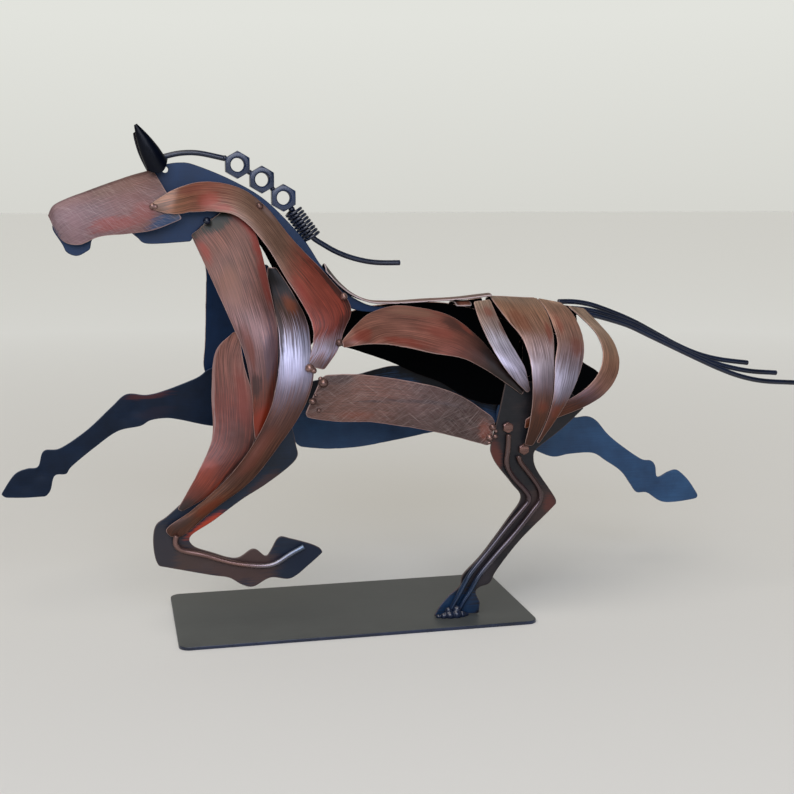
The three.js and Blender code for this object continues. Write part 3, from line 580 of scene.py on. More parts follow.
def meltedPoints(parts, grain=0.16):
    # Overlapping drops flow together into one weld
    points, faces, start = [], [], 0
    for somePoints, someFaces in parts:
        points.append(somePoints)
        faces += [[start + k for k in face] for face in someFaces]
        start += len(somePoints)
    mesh = bpy.data.meshes.new("melt")
    mesh.from_pydata(np.concatenate(points).tolist(), [], faces)
    solid = bpy.data.objects.new("melt", mesh)
    bpy.context.scene.collection.objects.link(solid)
    flow = solid.modifiers.new("flow", "REMESH")
    flow.mode = "VOXEL"
    flow.voxel_size = grain
    smooth = solid.modifiers.new("smooth", "SMOOTH")
    smooth.factor = 0.6
    smooth.iterations = 7
    shown = solid.evaluated_get(bpy.context.evaluated_depsgraph_get())
    result = shown.to_mesh()
    places = np.empty(len(result.vertices) * 3)
    result.vertices.foreach_get("co", places)
    outcome = places.reshape(-1, 3).copy(), [list(p.vertices) for p in result.polygons]
    shown.to_mesh_clear()
    bpy.data.objects.remove(solid)
    bpy.data.meshes.remove(mesh)
    return outcome


# Base plate

basePlate = {"length": 200, "width": 97, "thickness": 2, "corner": 6, "edge": 0.35}


def basePiece():
    look = basePlate
    edge, thickness = look["edge"], look["thickness"]
    insets = [edge + 0.5, 0.25 * edge, 0.0, 0.0, 0.25 * edge, edge + 0.5]
    levels = [0.0, 0.12, edge, thickness - edge, thickness - 0.12, thickness]
    angles = np.concatenate([np.linspace(k, k + 1, 15) for k in range(4)]) * math.pi / 2
    middles = np.repeat([(1, 1), (-1, 1), (-1, -1), (1, -1)], 15, axis=0) * (
        np.array([look["length"], look["width"]]) / 2 - look["corner"])
    rings = [np.column_stack([middles + (look["corner"] - inset) * np.stack([np.cos(angles), np.sin(angles)], 1),
                              np.full(60, level)]) for inset, level in zip(insets, levels)]
    number = np.arange(360).reshape(6, 60)
    after = np.roll(number, -1, 1)
    faces = np.stack([number[:-1], after[:-1], after[1:], number[1:]], -1).reshape(-1, 4).tolist()
    slots = np.repeat([0, 1, 1, 1, 0], 60).tolist() + [0, 0]
    faces += [number[0][::-1].tolist(), number[-1].tolist()]
    points = np.concatenate(rings)
    maps = {"stock": points[:, :2], "share": points[:, :2]}
    rim = np.repeat([9.0, 0, 0, 0, 0, 9.0], 60)
    return dress(makePiece("basePlate", points, faces, [slate, baseRim], slots, maps, rim), "base_plate")


basePiece()
print("stage: base plate")


# Neck plate, with the small hole at the poll

neckPlate = {
    "outline": [
        [[-97.1, 255.6], [-90.7, 256.4], [-82.9, 255.4], [-63.3, 247.5], [-44.7, 236.6],
         [-26.4, 218.4], [-19.8, 209.6], [-15.5, 202.6]],
        [[-11, 197], [-2, 186.6], [12, 178.2], [26, 176.2]],
        [[26, 174.4], [8, 174.6], [-10, 182], [-22, 193], [-34, 208], [-48, 226], [-64, 231], [-80, 222]],
        [[-85.4, 214.2], [-108.2, 213.1], [-114, 216.6], [-120, 220.4], [-131.7, 219.6]],
        [[-137.9, 215.2]],
        [[-138.7, 210.4], [-144.6, 207.1], [-148.6, 207.5]],
        [[-151.6, 209.4], [-153, 213], [-157.2, 219.8]],
        [[-158, 222.8], [-156.4, 225.4], [-152.5, 227.4]],
        [[-140, 236.6]],
        [[-110, 248.4]],
        [[-103.4, 250.4]],
        [[-101.4, 254.2]],
    ],
    "hole": (-98.2, 252.6, 3.4),
}
platePiece("neck_plate", neckPlate["outline"], left, 0, [navy, navy], 1, holes=[neckPlate["hole"]],
           warp=0.1)


# Face plate, bent over the bridge of the nose

facePlate = {
    "ridge": [(-104.6, 252.2), (-115.4, 249.2), (-127.3, 245.2), (-139.3, 240.8), (-149.8, 236.8), (-157, 232.8),
              (-159.4, 228)],
    "edge": [(-90.4, 226.4), (-105.5, 220.6), (-119.5, 218.6), (-133.5, 217.2), (-144.2, 213), (-152, 214.6),
             (-156.8, 221.4)],
    "half": [11.5, 10.5, 9, 7.5, 6, 4.4, 3],
    "tones": [(0.0, "#4c302a"), (0.25, "#5c3a34"), (0.5, "#654846"), (0.75, "#6e5253"), (1.0, "#6c5556")],
    "spots": [(0.42, 0.9, 0.26, 0.08, 0, "#7c352d", 0.7), (0.2, 0.84, 0.12, 0.1, 20, "#78352c", 0.5),
              (0.02, 0.97, 0.24, 0.08, 0, "#14304f", 1.0), (0.0, 0.86, 0.07, 0.12, 0, "#3a302f", 0.7),
              (0.3, 0.6, 0.2, 0.12, 10, "#5c423a", 0.5), (0.97, 0.92, 0.05, 0.08, 0, "#2a3247", 0.7)],
}
# Rust brown lacquer rubbed with wire wool: dull and greyish, with fine crossed scratches
faceFinish = paintedSteel("lacquerRustFace", facePlate["tones"], facePlate["spots"], scratches=0.3,
                          slants=(1.15, 0.7), streak=0.2, hairs=0.16, clouds=0.24, roughness=(0.36, 0.48))


def faceSurface(along, across):
    look = facePlate
    ridge = rail([(x, 0, z) for x, z in look["ridge"]])(along)[:, None]
    edge = rail([(x, 0, z) for x, z in look["edge"]])(along)[:, None]
    half = rail([(k, h, 0) for k, h in enumerate(look["half"])])(along)[:, 1:2]
    angle = (across - 0.5) * math.pi
    points = edge + (ridge - edge) * np.cos(angle)[..., None]
    points[..., 1] = -half * np.sin(angle)
    return points


dress(sheetPiece("face_plate", faceSurface, (-0.4, 0, 1), [faceFinish, inside], 2, alongCells=60, acrossCells=64,
                 corner=0.8, wave=0.1), "face_plate")


# Ears, rolled from sheet to open leaves

ear = {"foot": (-102.2, 5.2, 254.4), "tip": (-113.2, 8.4, 275.6), "farTip": (-113.6, 8.4, 272.4), "radius": 5.4,
       "tipRadius": 0.4, "flatness": 0.7, "wrap": 1.3 * math.pi, "turn": 0.35 * math.pi, "hang": 0.16, "belly": 0.2}


def earPiece(node, side, tip, seed):
    foot, tip = (np.array([x, side * out, z]) for x, out, z in (ear["foot"], tip))
    rise = tip - foot
    acrossWay = np.array([1, 0, -rise[0] / rise[2]])
    acrossWay /= np.linalg.norm(acrossWay)

    def surface(along, across):
        angle = (across - 0.5) * ear["wrap"] + ear["turn"]
        up = along[:, None]
        # The foot hangs down a little on the outside, and the leaf is full in its lower half
        up = up - ear["hang"] * (1 - up) ** 2 * np.maximum(np.sin(angle), 0) ** 2
        full = np.clip(up, 0, 1)
        radius = ear["radius"] + (ear["tipRadius"] - ear["radius"]) * full + (
            ear["belly"] * ear["radius"] * np.sin(math.pi * full))
        points = foot + rise * up[..., None] + acrossWay * (radius * np.cos(angle))[..., None]
        points[..., 1] += side * radius * ear["flatness"] * np.sin(angle)
        return points

    return dress(sheetPiece(node, surface, (0.6, side, 0), [navyEar, inside], seed, alongCells=30, acrossCells=30,
                            corner=0.4, wave=0.1), node)


earPiece("ear_left", left, ear["tip"], 3)
earPiece("ear_right", right, ear["farTip"], 4)
print("stage: head")


# Mane: rod, three hexagon nuts corner to corner, coil spring and rear rod

mane = {
    "acrossFlats": 13, "bore": 7.4, "height": 6.5, "threadPitch": 1.25, "threadDepth": 0.3,
    "first": (-59.4, 0, 255.3), "falls": (31, 40), "frontRise": 3.6,
    "springBore": 7, "springWire": 1.7, "springPitch": 2.05, "springTurns": 9, "springFall": (10.8, 0, -14.6),
}
nutReach = mane["acrossFlats"] / math.sqrt(3)


def nutPoints(centre, acrossFlats, height, bore=0, pitch=1, threadDepth=0):
    # Rings round the bore axis: thread, countersink, chamfer, flats. One corner points up.
    sides = 96
    angles = np.linspace(0, 2 * math.pi, sides, endpoint=False)
    hexagon = acrossFlats / 2 / np.cos((angles + math.pi / 6) % (math.pi / 3) - math.pi / 6)
    washer = acrossFlats / 2 * 0.97
    drop = np.maximum(hexagon - washer, 0) * math.tan(math.pi / 6)
    face = np.minimum(hexagon, washer)
    h = height / 2
    even = np.ones(sides)
    profile = []
    if bore:
        for level in np.linspace(-h + 0.6, h - 0.6, 56):
            phase = (level / pitch - angles / (2 * math.pi)) % 1
            profile.append((bore / 2 + threadDepth * (1 - 2 * np.abs(phase - 0.5)), level * even))
        profile.append(((bore / 2 + 0.7) * even, h * even))
    profile += [(face - 0.15, h * even), (face, (h - 0.04) * even), (hexagon - 0.05, h - drop - 0.03),
                (hexagon, h - drop - 0.15), (hexagon, -h + drop + 0.15), (hexagon - 0.05, -h + drop + 0.03),
                (face, (-h + 0.04) * even), (face - 0.15, -h * even)]
    if bore:
        profile.append(((bore / 2 + 0.7) * even, -h * even))
    points = np.concatenate([np.stack([r * np.cos(angles), -z, r * np.sin(angles)], 1) for r, z in profile])
    number = np.arange(len(profile) * sides).reshape(-1, sides)
    if bore:
        number = np.vstack([number, number[:1]])
    after = np.roll(number, -1, 1)
    faces = np.stack([number[:-1], after[:-1], after[1:], number[1:]], -1).reshape(-1, 4).tolist()
    if not bore:
        faces += [number[0][::-1].tolist(), number[-1].tolist()]
    return points + np.asarray(centre, float), faces


nutCentres = [np.array(mane["first"], float)]
for fall in mane["falls"]:
    angle = -math.radians(fall)
    nutCentres.append(nutCentres[-1] + (2 * nutReach + stock["clearance"]) * np.array(
        [math.cos(angle), 0, math.sin(angle)]))
for k, centre in enumerate(nutCentres):
    node = f"mane_nut_{k + 1}"
    points, faces = nutPoints(centre, mane["acrossFlats"], mane["height"], mane["bore"], mane["threadPitch"],
                              mane["threadDepth"])
    dress(makePiece(pieceName(node), points, faces, [navyNut], sharp=28), node)

frontEnd = nutCentres[0] + np.array([-mane["acrossFlats"] / 2 - 2 * stock["clearance"], 0, mane["frontRise"]])
rodPiece("mane_rod_front", [(-98.6, 0, 259.4), (-91, 0, 261.2), (-81.5, 0, 261.6), tuple(frontEnd + [0.8, 0, -0.3])],
         [navyGloss])

springAxis = np.array(mane["springFall"]) / np.linalg.norm(mane["springFall"])
springStart = nutCentres[-1] + springAxis * (nutReach + stock["clearance"] + mane["springWire"] / 2)
springSide = np.array([0, 1.0, 0])
springUp = np.cross(springSide, springAxis)
turns = np.linspace(0, mane["springTurns"], mane["springTurns"] * 30)
coilRadius = (mane["springBore"] + mane["springWire"]) / 2
coil = (springStart + np.outer(turns * mane["springPitch"], springAxis)
        + coilRadius * np.outer(np.cos(2 * math.pi * turns), springSide)
        + coilRadius * np.outer(np.sin(2 * math.pi * turns), springUp))
points, faces, maps = tubePoints(coil, mane["springWire"], 12)
dress(makePiece("maneSpring", points, faces, [navyGloss], None, maps), "mane_spring")
springEnd = springStart + springAxis * mane["springPitch"] * mane["springTurns"]
rodPiece("mane_rod_rear", [tuple(springStart), tuple((springStart + springEnd) / 2), tuple(springEnd),
                           (-12.6, 0, 212), (-6, 0, 208.2), (3, 0, 204.6), (14.1, 0, 202), (22.9, 0, 201.4),
                           (31.3, 0, 201.4)], [navyGloss])

# The welds that hold the mane together and to the neck
seams = [(frontEnd + [0.4, 0, 0], 1.3), ((nutCentres[0] + nutCentres[1]) / 2, 1.3),
         ((nutCentres[1] + nutCentres[2]) / 2, 1.3), (nutCentres[2] + springAxis * (nutReach + 0.2), 1.6),
         (np.array([-98.4, 0, 258.2]), 1.7)]
parts = [dropPoints(place + np.array([0, side * 0.4, 0]), size, size * 1.5, k + side, lean=(0, side, 0))
         for k, (place, size) in enumerate(seams) for side in (left, right)]
points, faces = meltedPoints(parts)
dress(makePiece("maneWelds", points, faces, [navyGloss]), None)
print("stage: mane")


# Crest strips, from the cheek over the neck to the point of the shoulder

crestStrip = {
    "rows": [
        [[-106.4, 11.2, 234.4], [-105.8, 11.4, 231.6]],
        [[-93.2, 11.8, 242.4], [-96.8, 13.6, 229]],
        [[-76.3, 5, 246.2], [-80, 9.4, 230.2]],
        [[-58.1, 2.6, 242.5], [-62, 9.6, 228.2]],
        [[-45.5, 3, 233.3], [-47.6, 15, 213.8]],
        [[-30, 9, 213.6], [-36, 22, 193.5]],
        [[-13, 16.4, 195], [-27, 28, 177.6]],
        [[-1.6, 24.5, 178], [-23.6, 31, 167]],
        [[-7, 30, 166], [-24, 33, 162.4]],
        [[-11, 35, 156.8], [-25.6, 35, 155]],
        [[-18.8, 37, 146.4], [-27.6, 36.2, 148.6]],
    ],
    "tones": [(0.0, "#7c5f4c"), (0.1, "#80563f"), (0.2, "#7f4a3a"), (0.32, "#6c5142"), (0.52, "#6c5041"),
              (0.64, "#703528"), (0.86, "#6a281b"), (0.91, "#6a5c62"), (0.94, "#746b7a"), (0.97, "#553632"),
              (1.0, "#38211b")],
    "spots": [(0.2, 0.6, 0.04, 0.3, 0, "#8a3c2c", 0.7), (0.13, 0.2, 0.05, 0.2, 0, "#84463a", 0.5),
              (0.26, 0.85, 0.05, 0.14, 0, "#843a2c", 0.6), (0.03, 0.7, 0.04, 0.4, 0, "#4a3d38", 0.5),
              (0.66, 0.8, 0.08, 0.14, 0, "#7e2f22", 0.6), (0.74, 0.08, 0.1, 0.12, 0, "#241714", 0.8),
              (0.42, 0.12, 0.06, 0.12, 0, "#85706a", 0.5), (0.84, 0.15, 0.05, 0.2, 0, "#34211c", 0.6)],
}
# Rust brown lacquer brushed thin over steel: satin, red where it is thick, and silver-lilac over the last bend, partly
# steel showing through and partly a painted highlight of the cool front lamp
crestFinish = paintedSteel("lacquerRustCrest", crestStrip["tones"], crestStrip["spots"])
for side, node, seed in ((left, "crest_strip_left", 5), (right, "crest_strip_right", 6)):
    stripPiece(node, crestStrip["rows"], side, 1.5, [crestFinish, inside], seed, alongCells=110, shake=(0.12, 0.3))


# Throat strips, from the jaw down over the breast

throatStrip = {
    "rows": [
        [[-85.4, 3, 217.6], [-64, 3, 233.5]],
        [[-78.4, 12, 200.5], [-53, 8.4, 222.4]],
        [[-68.4, 24, 175.7], [-45.4, 20, 190]],
        [[-60.4, 28, 155], [-42.6, 28.6, 166]],
        [[-56.8, 29.4, 132], [-43.4, 30, 145]],
        [[-56.4, onNearFore + 1, 118], [-48.6, onNearFore + 1.2, 119]],
        [[-55.6, onNearFore + 0.8, 109], [-52.6, onNearFore + 0.8, 109]],
    ],
    "farRows": [
        [[-85.4, 3, 217.6], [-64, 3, 233.5]],
        [[-77.6, 11, 203], [-55.5, 7.4, 222.4]],
        [[-76.8, 18, 178], [-48, 19, 190]],
        [[-77.4, 24, 156], [-42.6, 27, 166]],
        [[-78, 27, 141], [-44, 29, 146]],
        [[-75, onFarFore + 0.4, 134], [-50, onFarFore + 1.6, 128]],
    ],
    "tones": [(0.0, "#302a22"), (0.06, "#56332a"), (0.2, "#604037"), (0.4, "#5f3d34"), (0.55, "#6c4e4c"),
              (0.68, "#664846"), (0.8, "#5c3024"), (0.9, "#6c2919"), (1.0, "#4a2016")],
    "spots": [(0.02, 0.55, 0.045, 0.6, 0, "#1c211a", 0.9), (0.09, 0.1, 0.08, 0.12, 0, "#7c2e22", 0.7),
              (0.16, 0.95, 0.18, 0.12, 0, "#7a2a1e", 0.8), (0.34, 0.92, 0.12, 0.12, 0, "#722c22", 0.7),
              (0.3, 0.25, 0.1, 0.2, 0, "#70493a", 0.5), (0.58, 0.2, 0.12, 0.12, 0, "#6e382c", 0.6),
              (0.64, 0.75, 0.12, 0.25, 0, "#54424c", 0.6), (0.74, 0.2, 0.06, 0.2, 0, "#2e201f", 0.7),
              (0.92, 0.5, 0.07, 0.6, 0, "#7c2812", 0.8)],
}
# The same lacquer: brown in the middle, red along the edges, near black at the top end under the jaw
throatFinish = paintedSteel("lacquerRustThroat", throatStrip["tones"], throatStrip["spots"])
stripPiece("throat_strip_left", throatStrip["rows"], left, 2.5, [throatFinish, inside], 7)
stripPiece("throat_strip_right", throatStrip["farRows"], right, 2, [throatFinish, navy], 8)


# Breast leaf on the near side

breastLeaf = {
    "rows": [
        [[-65.4, 22.6, 166.4], [-62.4, 24, 166.8]],
        [[-74.6, 20, 156.6], [-60.6, 25.4, 150]],
        [[-77.6, 21, 135.4], [-56, 27.7, 130]],
        [[-78.4, 25.6, 110], [-57.4, onNearFore + 0.2, 104]],
        [[-85.6, onNearFore, 94], [-72, onNearFore + 0.8, 88]],
        [[-92.2, onNearFore + 0.3, 82.2], [-82, onNearFore + 0.8, 78.6]],
        [[-98.1, onNearFore + 0.4, 72.4], [-95.4, onNearFore + 0.4, 71.4]],
    ],
    "tones": [(0.0, "#6c4438"), (0.2, "#6e463c"), (0.38, "#5e2e24"), (0.65, "#592a20"), (0.82, "#6e2c1b"),
              (0.93, "#4a241a"), (1.0, "#26201d")],
    "spots": [(0.3, 0.04, 0.3, 0.05, 0, "#94766f", 0.6), (0.3, 0.75, 0.16, 0.2, 0, "#6e2c20", 0.6),
              (0.55, 0.6, 0.1, 0.25, 0, "#4a2c26", 0.6), (0.76, 0.3, 0.08, 0.3, 0, "#7c2f19", 0.6),
              (0.62, 0.95, 0.2, 0.08, 0, "#2e1e1a", 0.8), (0.95, 0.5, 0.05, 0.5, 0, "#241c19", 0.6)],
}
# The same lacquer: redder towards the leg, with a pale worn front edge
breastFinish = paintedSteel("lacquerRustBreast", breastLeaf["tones"], breastLeaf["spots"])
stripPiece("breast_leaf_left", breastLeaf["rows"], left, 1, [breastFinish, inside], 9)


# Shoulder strips, from under the crest strip to the knee

shoulderStrip = {
    "rows": [
        [[-46, 17.4, 200.6], [-41.4, 18, 200.2]],
        [[-45.6, 18, 188], [-33.8, 21.4, 188]],
        [[-42.4, 27, 170.6], [-26.2, 27.6, 171]],
        [[-42, 32.6, 157], [-25.4, 32.6, 158.4]],
        [[-43.4, 35, 145], [-24.4, 36.6, 145.6]],
        [[-48, 36.4, 126], [-28.8, 37.6, 129.6]],
        [[-59.6, 35.4, 104], [-44.8, 36.6, 105]],
        [[-73.3, 33.4, 87], [-60, 34.4, 86.5]],
        [[-91, onNearFore + 2.9, 71.6], [-79.2, onNearFore + 3.6, 72]],
        [[-104.4, onNearFore + 1.8, 61.8], [-92.3, onNearFore + 2.2, 60.6]],
        [[-102, onNearFore + 1, 58], [-96.6, onNearFore + 1.2, 57.6]],
    ],
    "farRows": [
        [[-45.4, 17.4, 200.6], [-41.4, 18, 200.2]],
        [[-43.4, 18.6, 188], [-34.6, 21.4, 188]],
        [[-41, 27, 170.6], [-28.4, 27.6, 171]],
        [[-42, 32.6, 157], [-28, 32.6, 158.4]],
        [[-45.4, 34, 145], [-27.4, 36, 142]],
        [[-56, 34, 130], [-40, 36, 122]],
        [[-76, 31.6, 124], [-68, 32, 114]],
        [[-98, onFarFore + 1, 122.4], [-98, onFarFore + 1, 118]],
    ],
    "tones": [(0.0, "#040303"), (0.09, "#130c0a"), (0.16, "#2e1b14"), (0.2, "#544548"), (0.25, "#878597"),
              (0.3, "#9a98ac"), (0.35, "#888496"), (0.41, "#68585e"), (0.47, "#523832"), (0.6, "#4a2d23"),
              (0.75, "#4c3024"), (0.88, "#50301f"), (1.0, "#4c3026")],
    "spots": [(0.13, 0.7, 0.045, 0.3, 0, "#5c2b14", 0.7), (0.2, 0.1, 0.1, 0.1, 0, "#221a1c", 0.8),
              (0.62, 0.4, 0.1, 0.3, 0, "#613326", 0.6), (0.42, 0.97, 0.2, 0.05, 0, "#54362c", 0.7),
              (0.85, 0.6, 0.08, 0.4, 0, "#6a2f1a", 0.7), (0.94, 0.3, 0.05, 0.4, 0, "#40322e", 0.6)],
}
# The same lacquer: near black at the top, painted shade where the strip turns in under the crest strip; silver-lilac on
# the bend, partly rubbed through to the steel and partly a painted highlight of the cool front lamp; then brown
shoulderFinish = paintedSteel("lacquerRustShoulderPaintedLight", shoulderStrip["tones"], shoulderStrip["spots"],
                              roughness=(0.32, 0.42), metallic=0.4, specular=0.25)
stripPiece("shoulder_strip_left", shoulderStrip["rows"], left, 2, [shoulderFinish, inside], 10, alongCells=110)
stripPiece("shoulder_strip_right", shoulderStrip["farRows"], right, 2, [shoulderFinish, navy], 11)
print("stage: neck, breast and shoulder strips")


# Near foreleg, folded, with its rod

nearForeleg = {
    "outline": [
        [[-97, 74], [-103.9, 68.1], [-109, 64.7], [-110.9, 59.6], [-111.2, 52.3], [-110.3, 45.5]],
        [[-108.6, 41.3], [-81.2, 34.6], [-71.1, 32.4], [-64.5, 28.2], [-58, 26.4], [-48.3, 30.9],
         [-37.2, 29.7], [-26.6, 37.1]],
        [[-19.1, 43.5]],
        [[-20.5, 45.8], [-25.7, 48.5], [-36.9, 52.2], [-43.5, 53.4], [-48.1, 46.1], [-51, 43.2],
         [-57.6, 47.8], [-67.2, 43.1], [-80.9, 47.4], [-90, 51.4], [-91.2, 57], [-79, 64.7], [-63.6, 75.5],
         [-48.1, 84.8], [-33.5, 96.4], [-33.4, 105], [-36, 116]],
        [[-42, 128], [-54, 122], [-64, 104], [-80, 88]],
    ],
    # Along, how much further out than on the plate, up: it ends over the strip's foot
    "rod": [(-98.9, 2.2, 58.8), (-99.8, 1.9, 56), (-99.3, 0.9, 52.4), (-96, 0, 49.9), (-84, 0, 46.4), (-74, 0, 42.7),
            (-63.1, 0, 39.8), (-47.7, 0, 38.6), (-37.3, 0, 44.2), (-29.9, 0, 47.9)],
    "tones": [(0.3, "#071526"), (0.5, "#0b1b2e"), (0.66, "#141c2a")],
    "spots": [(-88, 45, 32, 15, 0, "#42322e", 1.0), (-62, 38, 22, 14, 0, "#453330", 1.0),
              (-106, 52, 10, 16, 0, "#2c2a30", 0.9), (-84, 62, 14, 3.4, 35, "#a5351a", 1.0),
              (-54, 82, 12, 4, 38, "#42271e", 0.6), (-28, 40, 17, 15, 0, "#03142b", 1.0)],
    "dents": [(-84, 43, 3.5, 0.5), (-60, 31, 3, 0.4), (-100, 60, 3, 0.4), (-42, 40, 3, 0.3)],
}
# Thin smoke brown lacquer over navy: dull, with a strip of orange-red underlayer
foreFinish = paintedSteel("lacquerSmokeForeleg", nearForeleg["tones"], nearForeleg["spots"], toneFrom="cloud",
                          streak=0.2, hairs=0.12, metallic=0.3, roughness=(0.35, 0.5), rim=("#6b5850", 0.5))
platePiece("foreleg_plate_left", nearForeleg["outline"], left, stock["nearFore"], [foreFinish, inside], 12,
           dents=nearForeleg["dents"])
# Bright rod under copper brown lacquer: metallic, with a long highlight
foreRodFinish = paintedSteel("lacquerCopperRod", [(0.0, "#7b5f5a"), (0.55, "#80645e"), (0.78, "#77757d"),
                                                  (1.0, "#5d6c80")], streak=0.25, metallic=0.8, roughness=(0.22, 0.34))
rodPiece("foreleg_rod_left", [(x, -(stock["nearFore"] + rodLap + lift), z) for x, lift, z in nearForeleg["rod"]],
         [foreRodFinish])


# Far foreleg, stretched forward

farForeleg = {
    "outline": [
        [[-52, 118], [-62, 109], [-74, 107.7], [-92.7, 112.1], [-100.6, 113.3], [-109.3, 112.3],
         [-114.9, 109.3], [-127.5, 106.8], [-140.3, 98.2], [-153.8, 87.5], [-156.8, 83.4],
         [-163.2, 82.7], [-165.8, 74.3]],
        [[-168.6, 71], [-180, 70.8]],
        [[-190.3, 71.4]],
        [[-192.7, 73.3], [-185.2, 84.2], [-178, 87.4], [-172.1, 88.2], [-168.7, 97.1], [-159.5, 98.3],
         [-144.5, 108.1], [-131, 120.4], [-122.1, 127.8], [-111.2, 127], [-100.9, 129.1],
         [-82.6, 135.8]],
        [[-77, 140]],
        [[-60, 148], [-44, 146], [-38, 134]],
    ],
    "dents": [(-117.8, 118.4, 3.2, 0.7), (-124, 114, 2.5, 0.5), (-170.8, 84.3, 2.8, 0.7), (-179.4, 77.5, 2.8, 0.6),
              (-150, 96, 3, 0.3)],
}
platePiece("foreleg_plate_right", farForeleg["outline"], right, stock["farFore"], [farForeFinish, farForeFinish], 13,
           dents=farForeleg["dents"], warp=0.35)
print("stage: forelegs")


# Spine strip and the bridge under it

spine = {
    "rows": [(-12.4, 201.4), (-4.8, 191.6), (2.6, 184.8), (12, 180.6), (24.1, 179.6), (42, 180.2), (62, 181),
             (84, 183)],
    "half": 6, "sag": 0.6,
    "frontHalf": 8, "frontSag": 4.2,      # over the withers it is bent down on both sides
    "bridgeLength": 9.2, "bridgeHalf": 9, "bridgeRise": 3.2, "bridgeArc": 0.8 * math.pi,
    "tones": [(0.0, "#1c1817"), (0.14, "#4a2a22"), (0.3, "#6b4032"), (0.6, "#6b4032"), (1.0, "#54382e")],
}
# The same lacquer: its pale edges draw the line of the back
spineFinish = paintedSteel("lacquerRustSpine", spine["tones"], rim=("#c9b6b4", 0.8))


def spineSurface(along, across):
    points = rail([(x, 0, z) for x, z in spine["rows"]])(along)[:, None] + np.zeros(across.shape + (3,))
    front = np.clip(1 - along / 0.4, 0, 1)[:, None] ** 2
    half = spine["half"] + (spine["frontHalf"] - spine["half"]) * front
    sag = spine["sag"] + (spine["frontSag"] - spine["sag"]) * front
    points[..., 1] = (0.5 - across) * 2 * half
    points[..., 2] -= 4 * sag * (across - 0.5) ** 2
    return points


def bridgeSurface(along, across):
    start, level = spine["rows"][-2]
    top = level - spine["sag"] - stock["sheet"] - stock["clearance"]
    angle = (across - 0.5) * spine["bridgeArc"]
    return np.stack([start + spine["bridgeLength"] * along[:, None] + 0 * across, -spine["bridgeHalf"] * np.sin(angle),
                     top - spine["bridgeRise"] * (1 - np.cos(angle))], -1)


dress(sheetPiece("spine_strip", spineSurface, (0, 0, 1), [spineFinish, inside], 14, wave=0.15), "spine_strip")
dress(sheetPiece("rump_bridge", bridgeSurface, (0, 0, 1), [spineFinish, inside], 15, alongCells=8, acrossCells=30,
                 wave=0.05), "rump_bridge")


# Loin leaves, from the shoulder back to the hip

loinLeaf = {
    "rows": [
        [[-8.6, 33.6, 161], [-8, 34, 157.8]],
        [[-1.6, 29, 167.6], [1, 34, 158.9]],
        [[11, 16, 174.6], [14.7, 32.6, 158.9]],
        [[27, 8.4, 177.6], [28, 31, 156.5]],
        [[45, 11, 175.4], [44, 30, 152.6]],
        [[58.5, 16, 170.6], [60, onHind - 0.7, 149.5]],
        [[70, 22.6, 161], [72, onHind - 0.7, 143.6]],
        [[82, 28.4, 146], [84.8, onHind - 0.1, 135.2]],
        [[95.4, onHind, 130], [94.4, onHind, 128.4]],
    ],
    "farRows": [
        [[-8.6, 33.6, 161], [-8, 34, 155]],
        [[-1.6, 29, 167.6], [4, 34, 151]],
        [[11, 16, 174.6], [18, 33, 146.6]],
        [[27, 8.6, 177.6], [34, 31, 140.6]],
        [[45, 10, 178.2], [48, 30, 134]],
        [[60, 10.4, 177.4], [62, 28.8, 128.6]],
        [[74, 9.4, 174.6], [78, stock["hind"] - 1.4, 119]],
        [[92, 12.4, 169], [91, stock["hind"] - 2, 114.6]],
        [[110, 17, 160], [102, stock["hind"] - 2.2, 113.6]],
    ],
    "tones": [(0.0, "#6a3f32"), (0.15, "#754b3d"), (0.35, "#764c40"), (0.55, "#6c3b2f"), (0.66, "#4a2a21"),
              (0.78, "#1e100c"), (1.0, "#160f0e")],
    "spots": [(0.1, 0.6, 0.06, 0.3, 0, "#7c3224", 0.6), (0.3, 0.88, 0.14, 0.1, 0, "#7a2e20", 0.6),
              (0.5, 0.55, 0.1, 0.16, 0, "#783428", 0.5), (0.6, 0.25, 0.08, 0.2, 0, "#3e2620", 0.7),
              (0.66, 0.12, 0.05, 0.12, 0, "#783a2c", 0.6), (0.4, 0.15, 0.12, 0.12, 0, "#86604e", 0.5),
              (0.78, 0.5, 0.08, 0.3, 0, "#1e1210", 0.7)],
}
# The same lacquer: warm brown, with painted shade darkening it towards the hip, where the leaf runs in under the hip
# strips
loinFinish = paintedSteel("lacquerRustLoin", loinLeaf["tones"], loinLeaf["spots"])
stripPiece("loin_leaf_left", loinLeaf["rows"], left, 3, [loinFinish, inside], 16, acrossCells=20)
stripPiece("loin_leaf_right", loinLeaf["farRows"], right, 3, [loinFinish, inside], 17, acrossCells=24)


# Belly bands

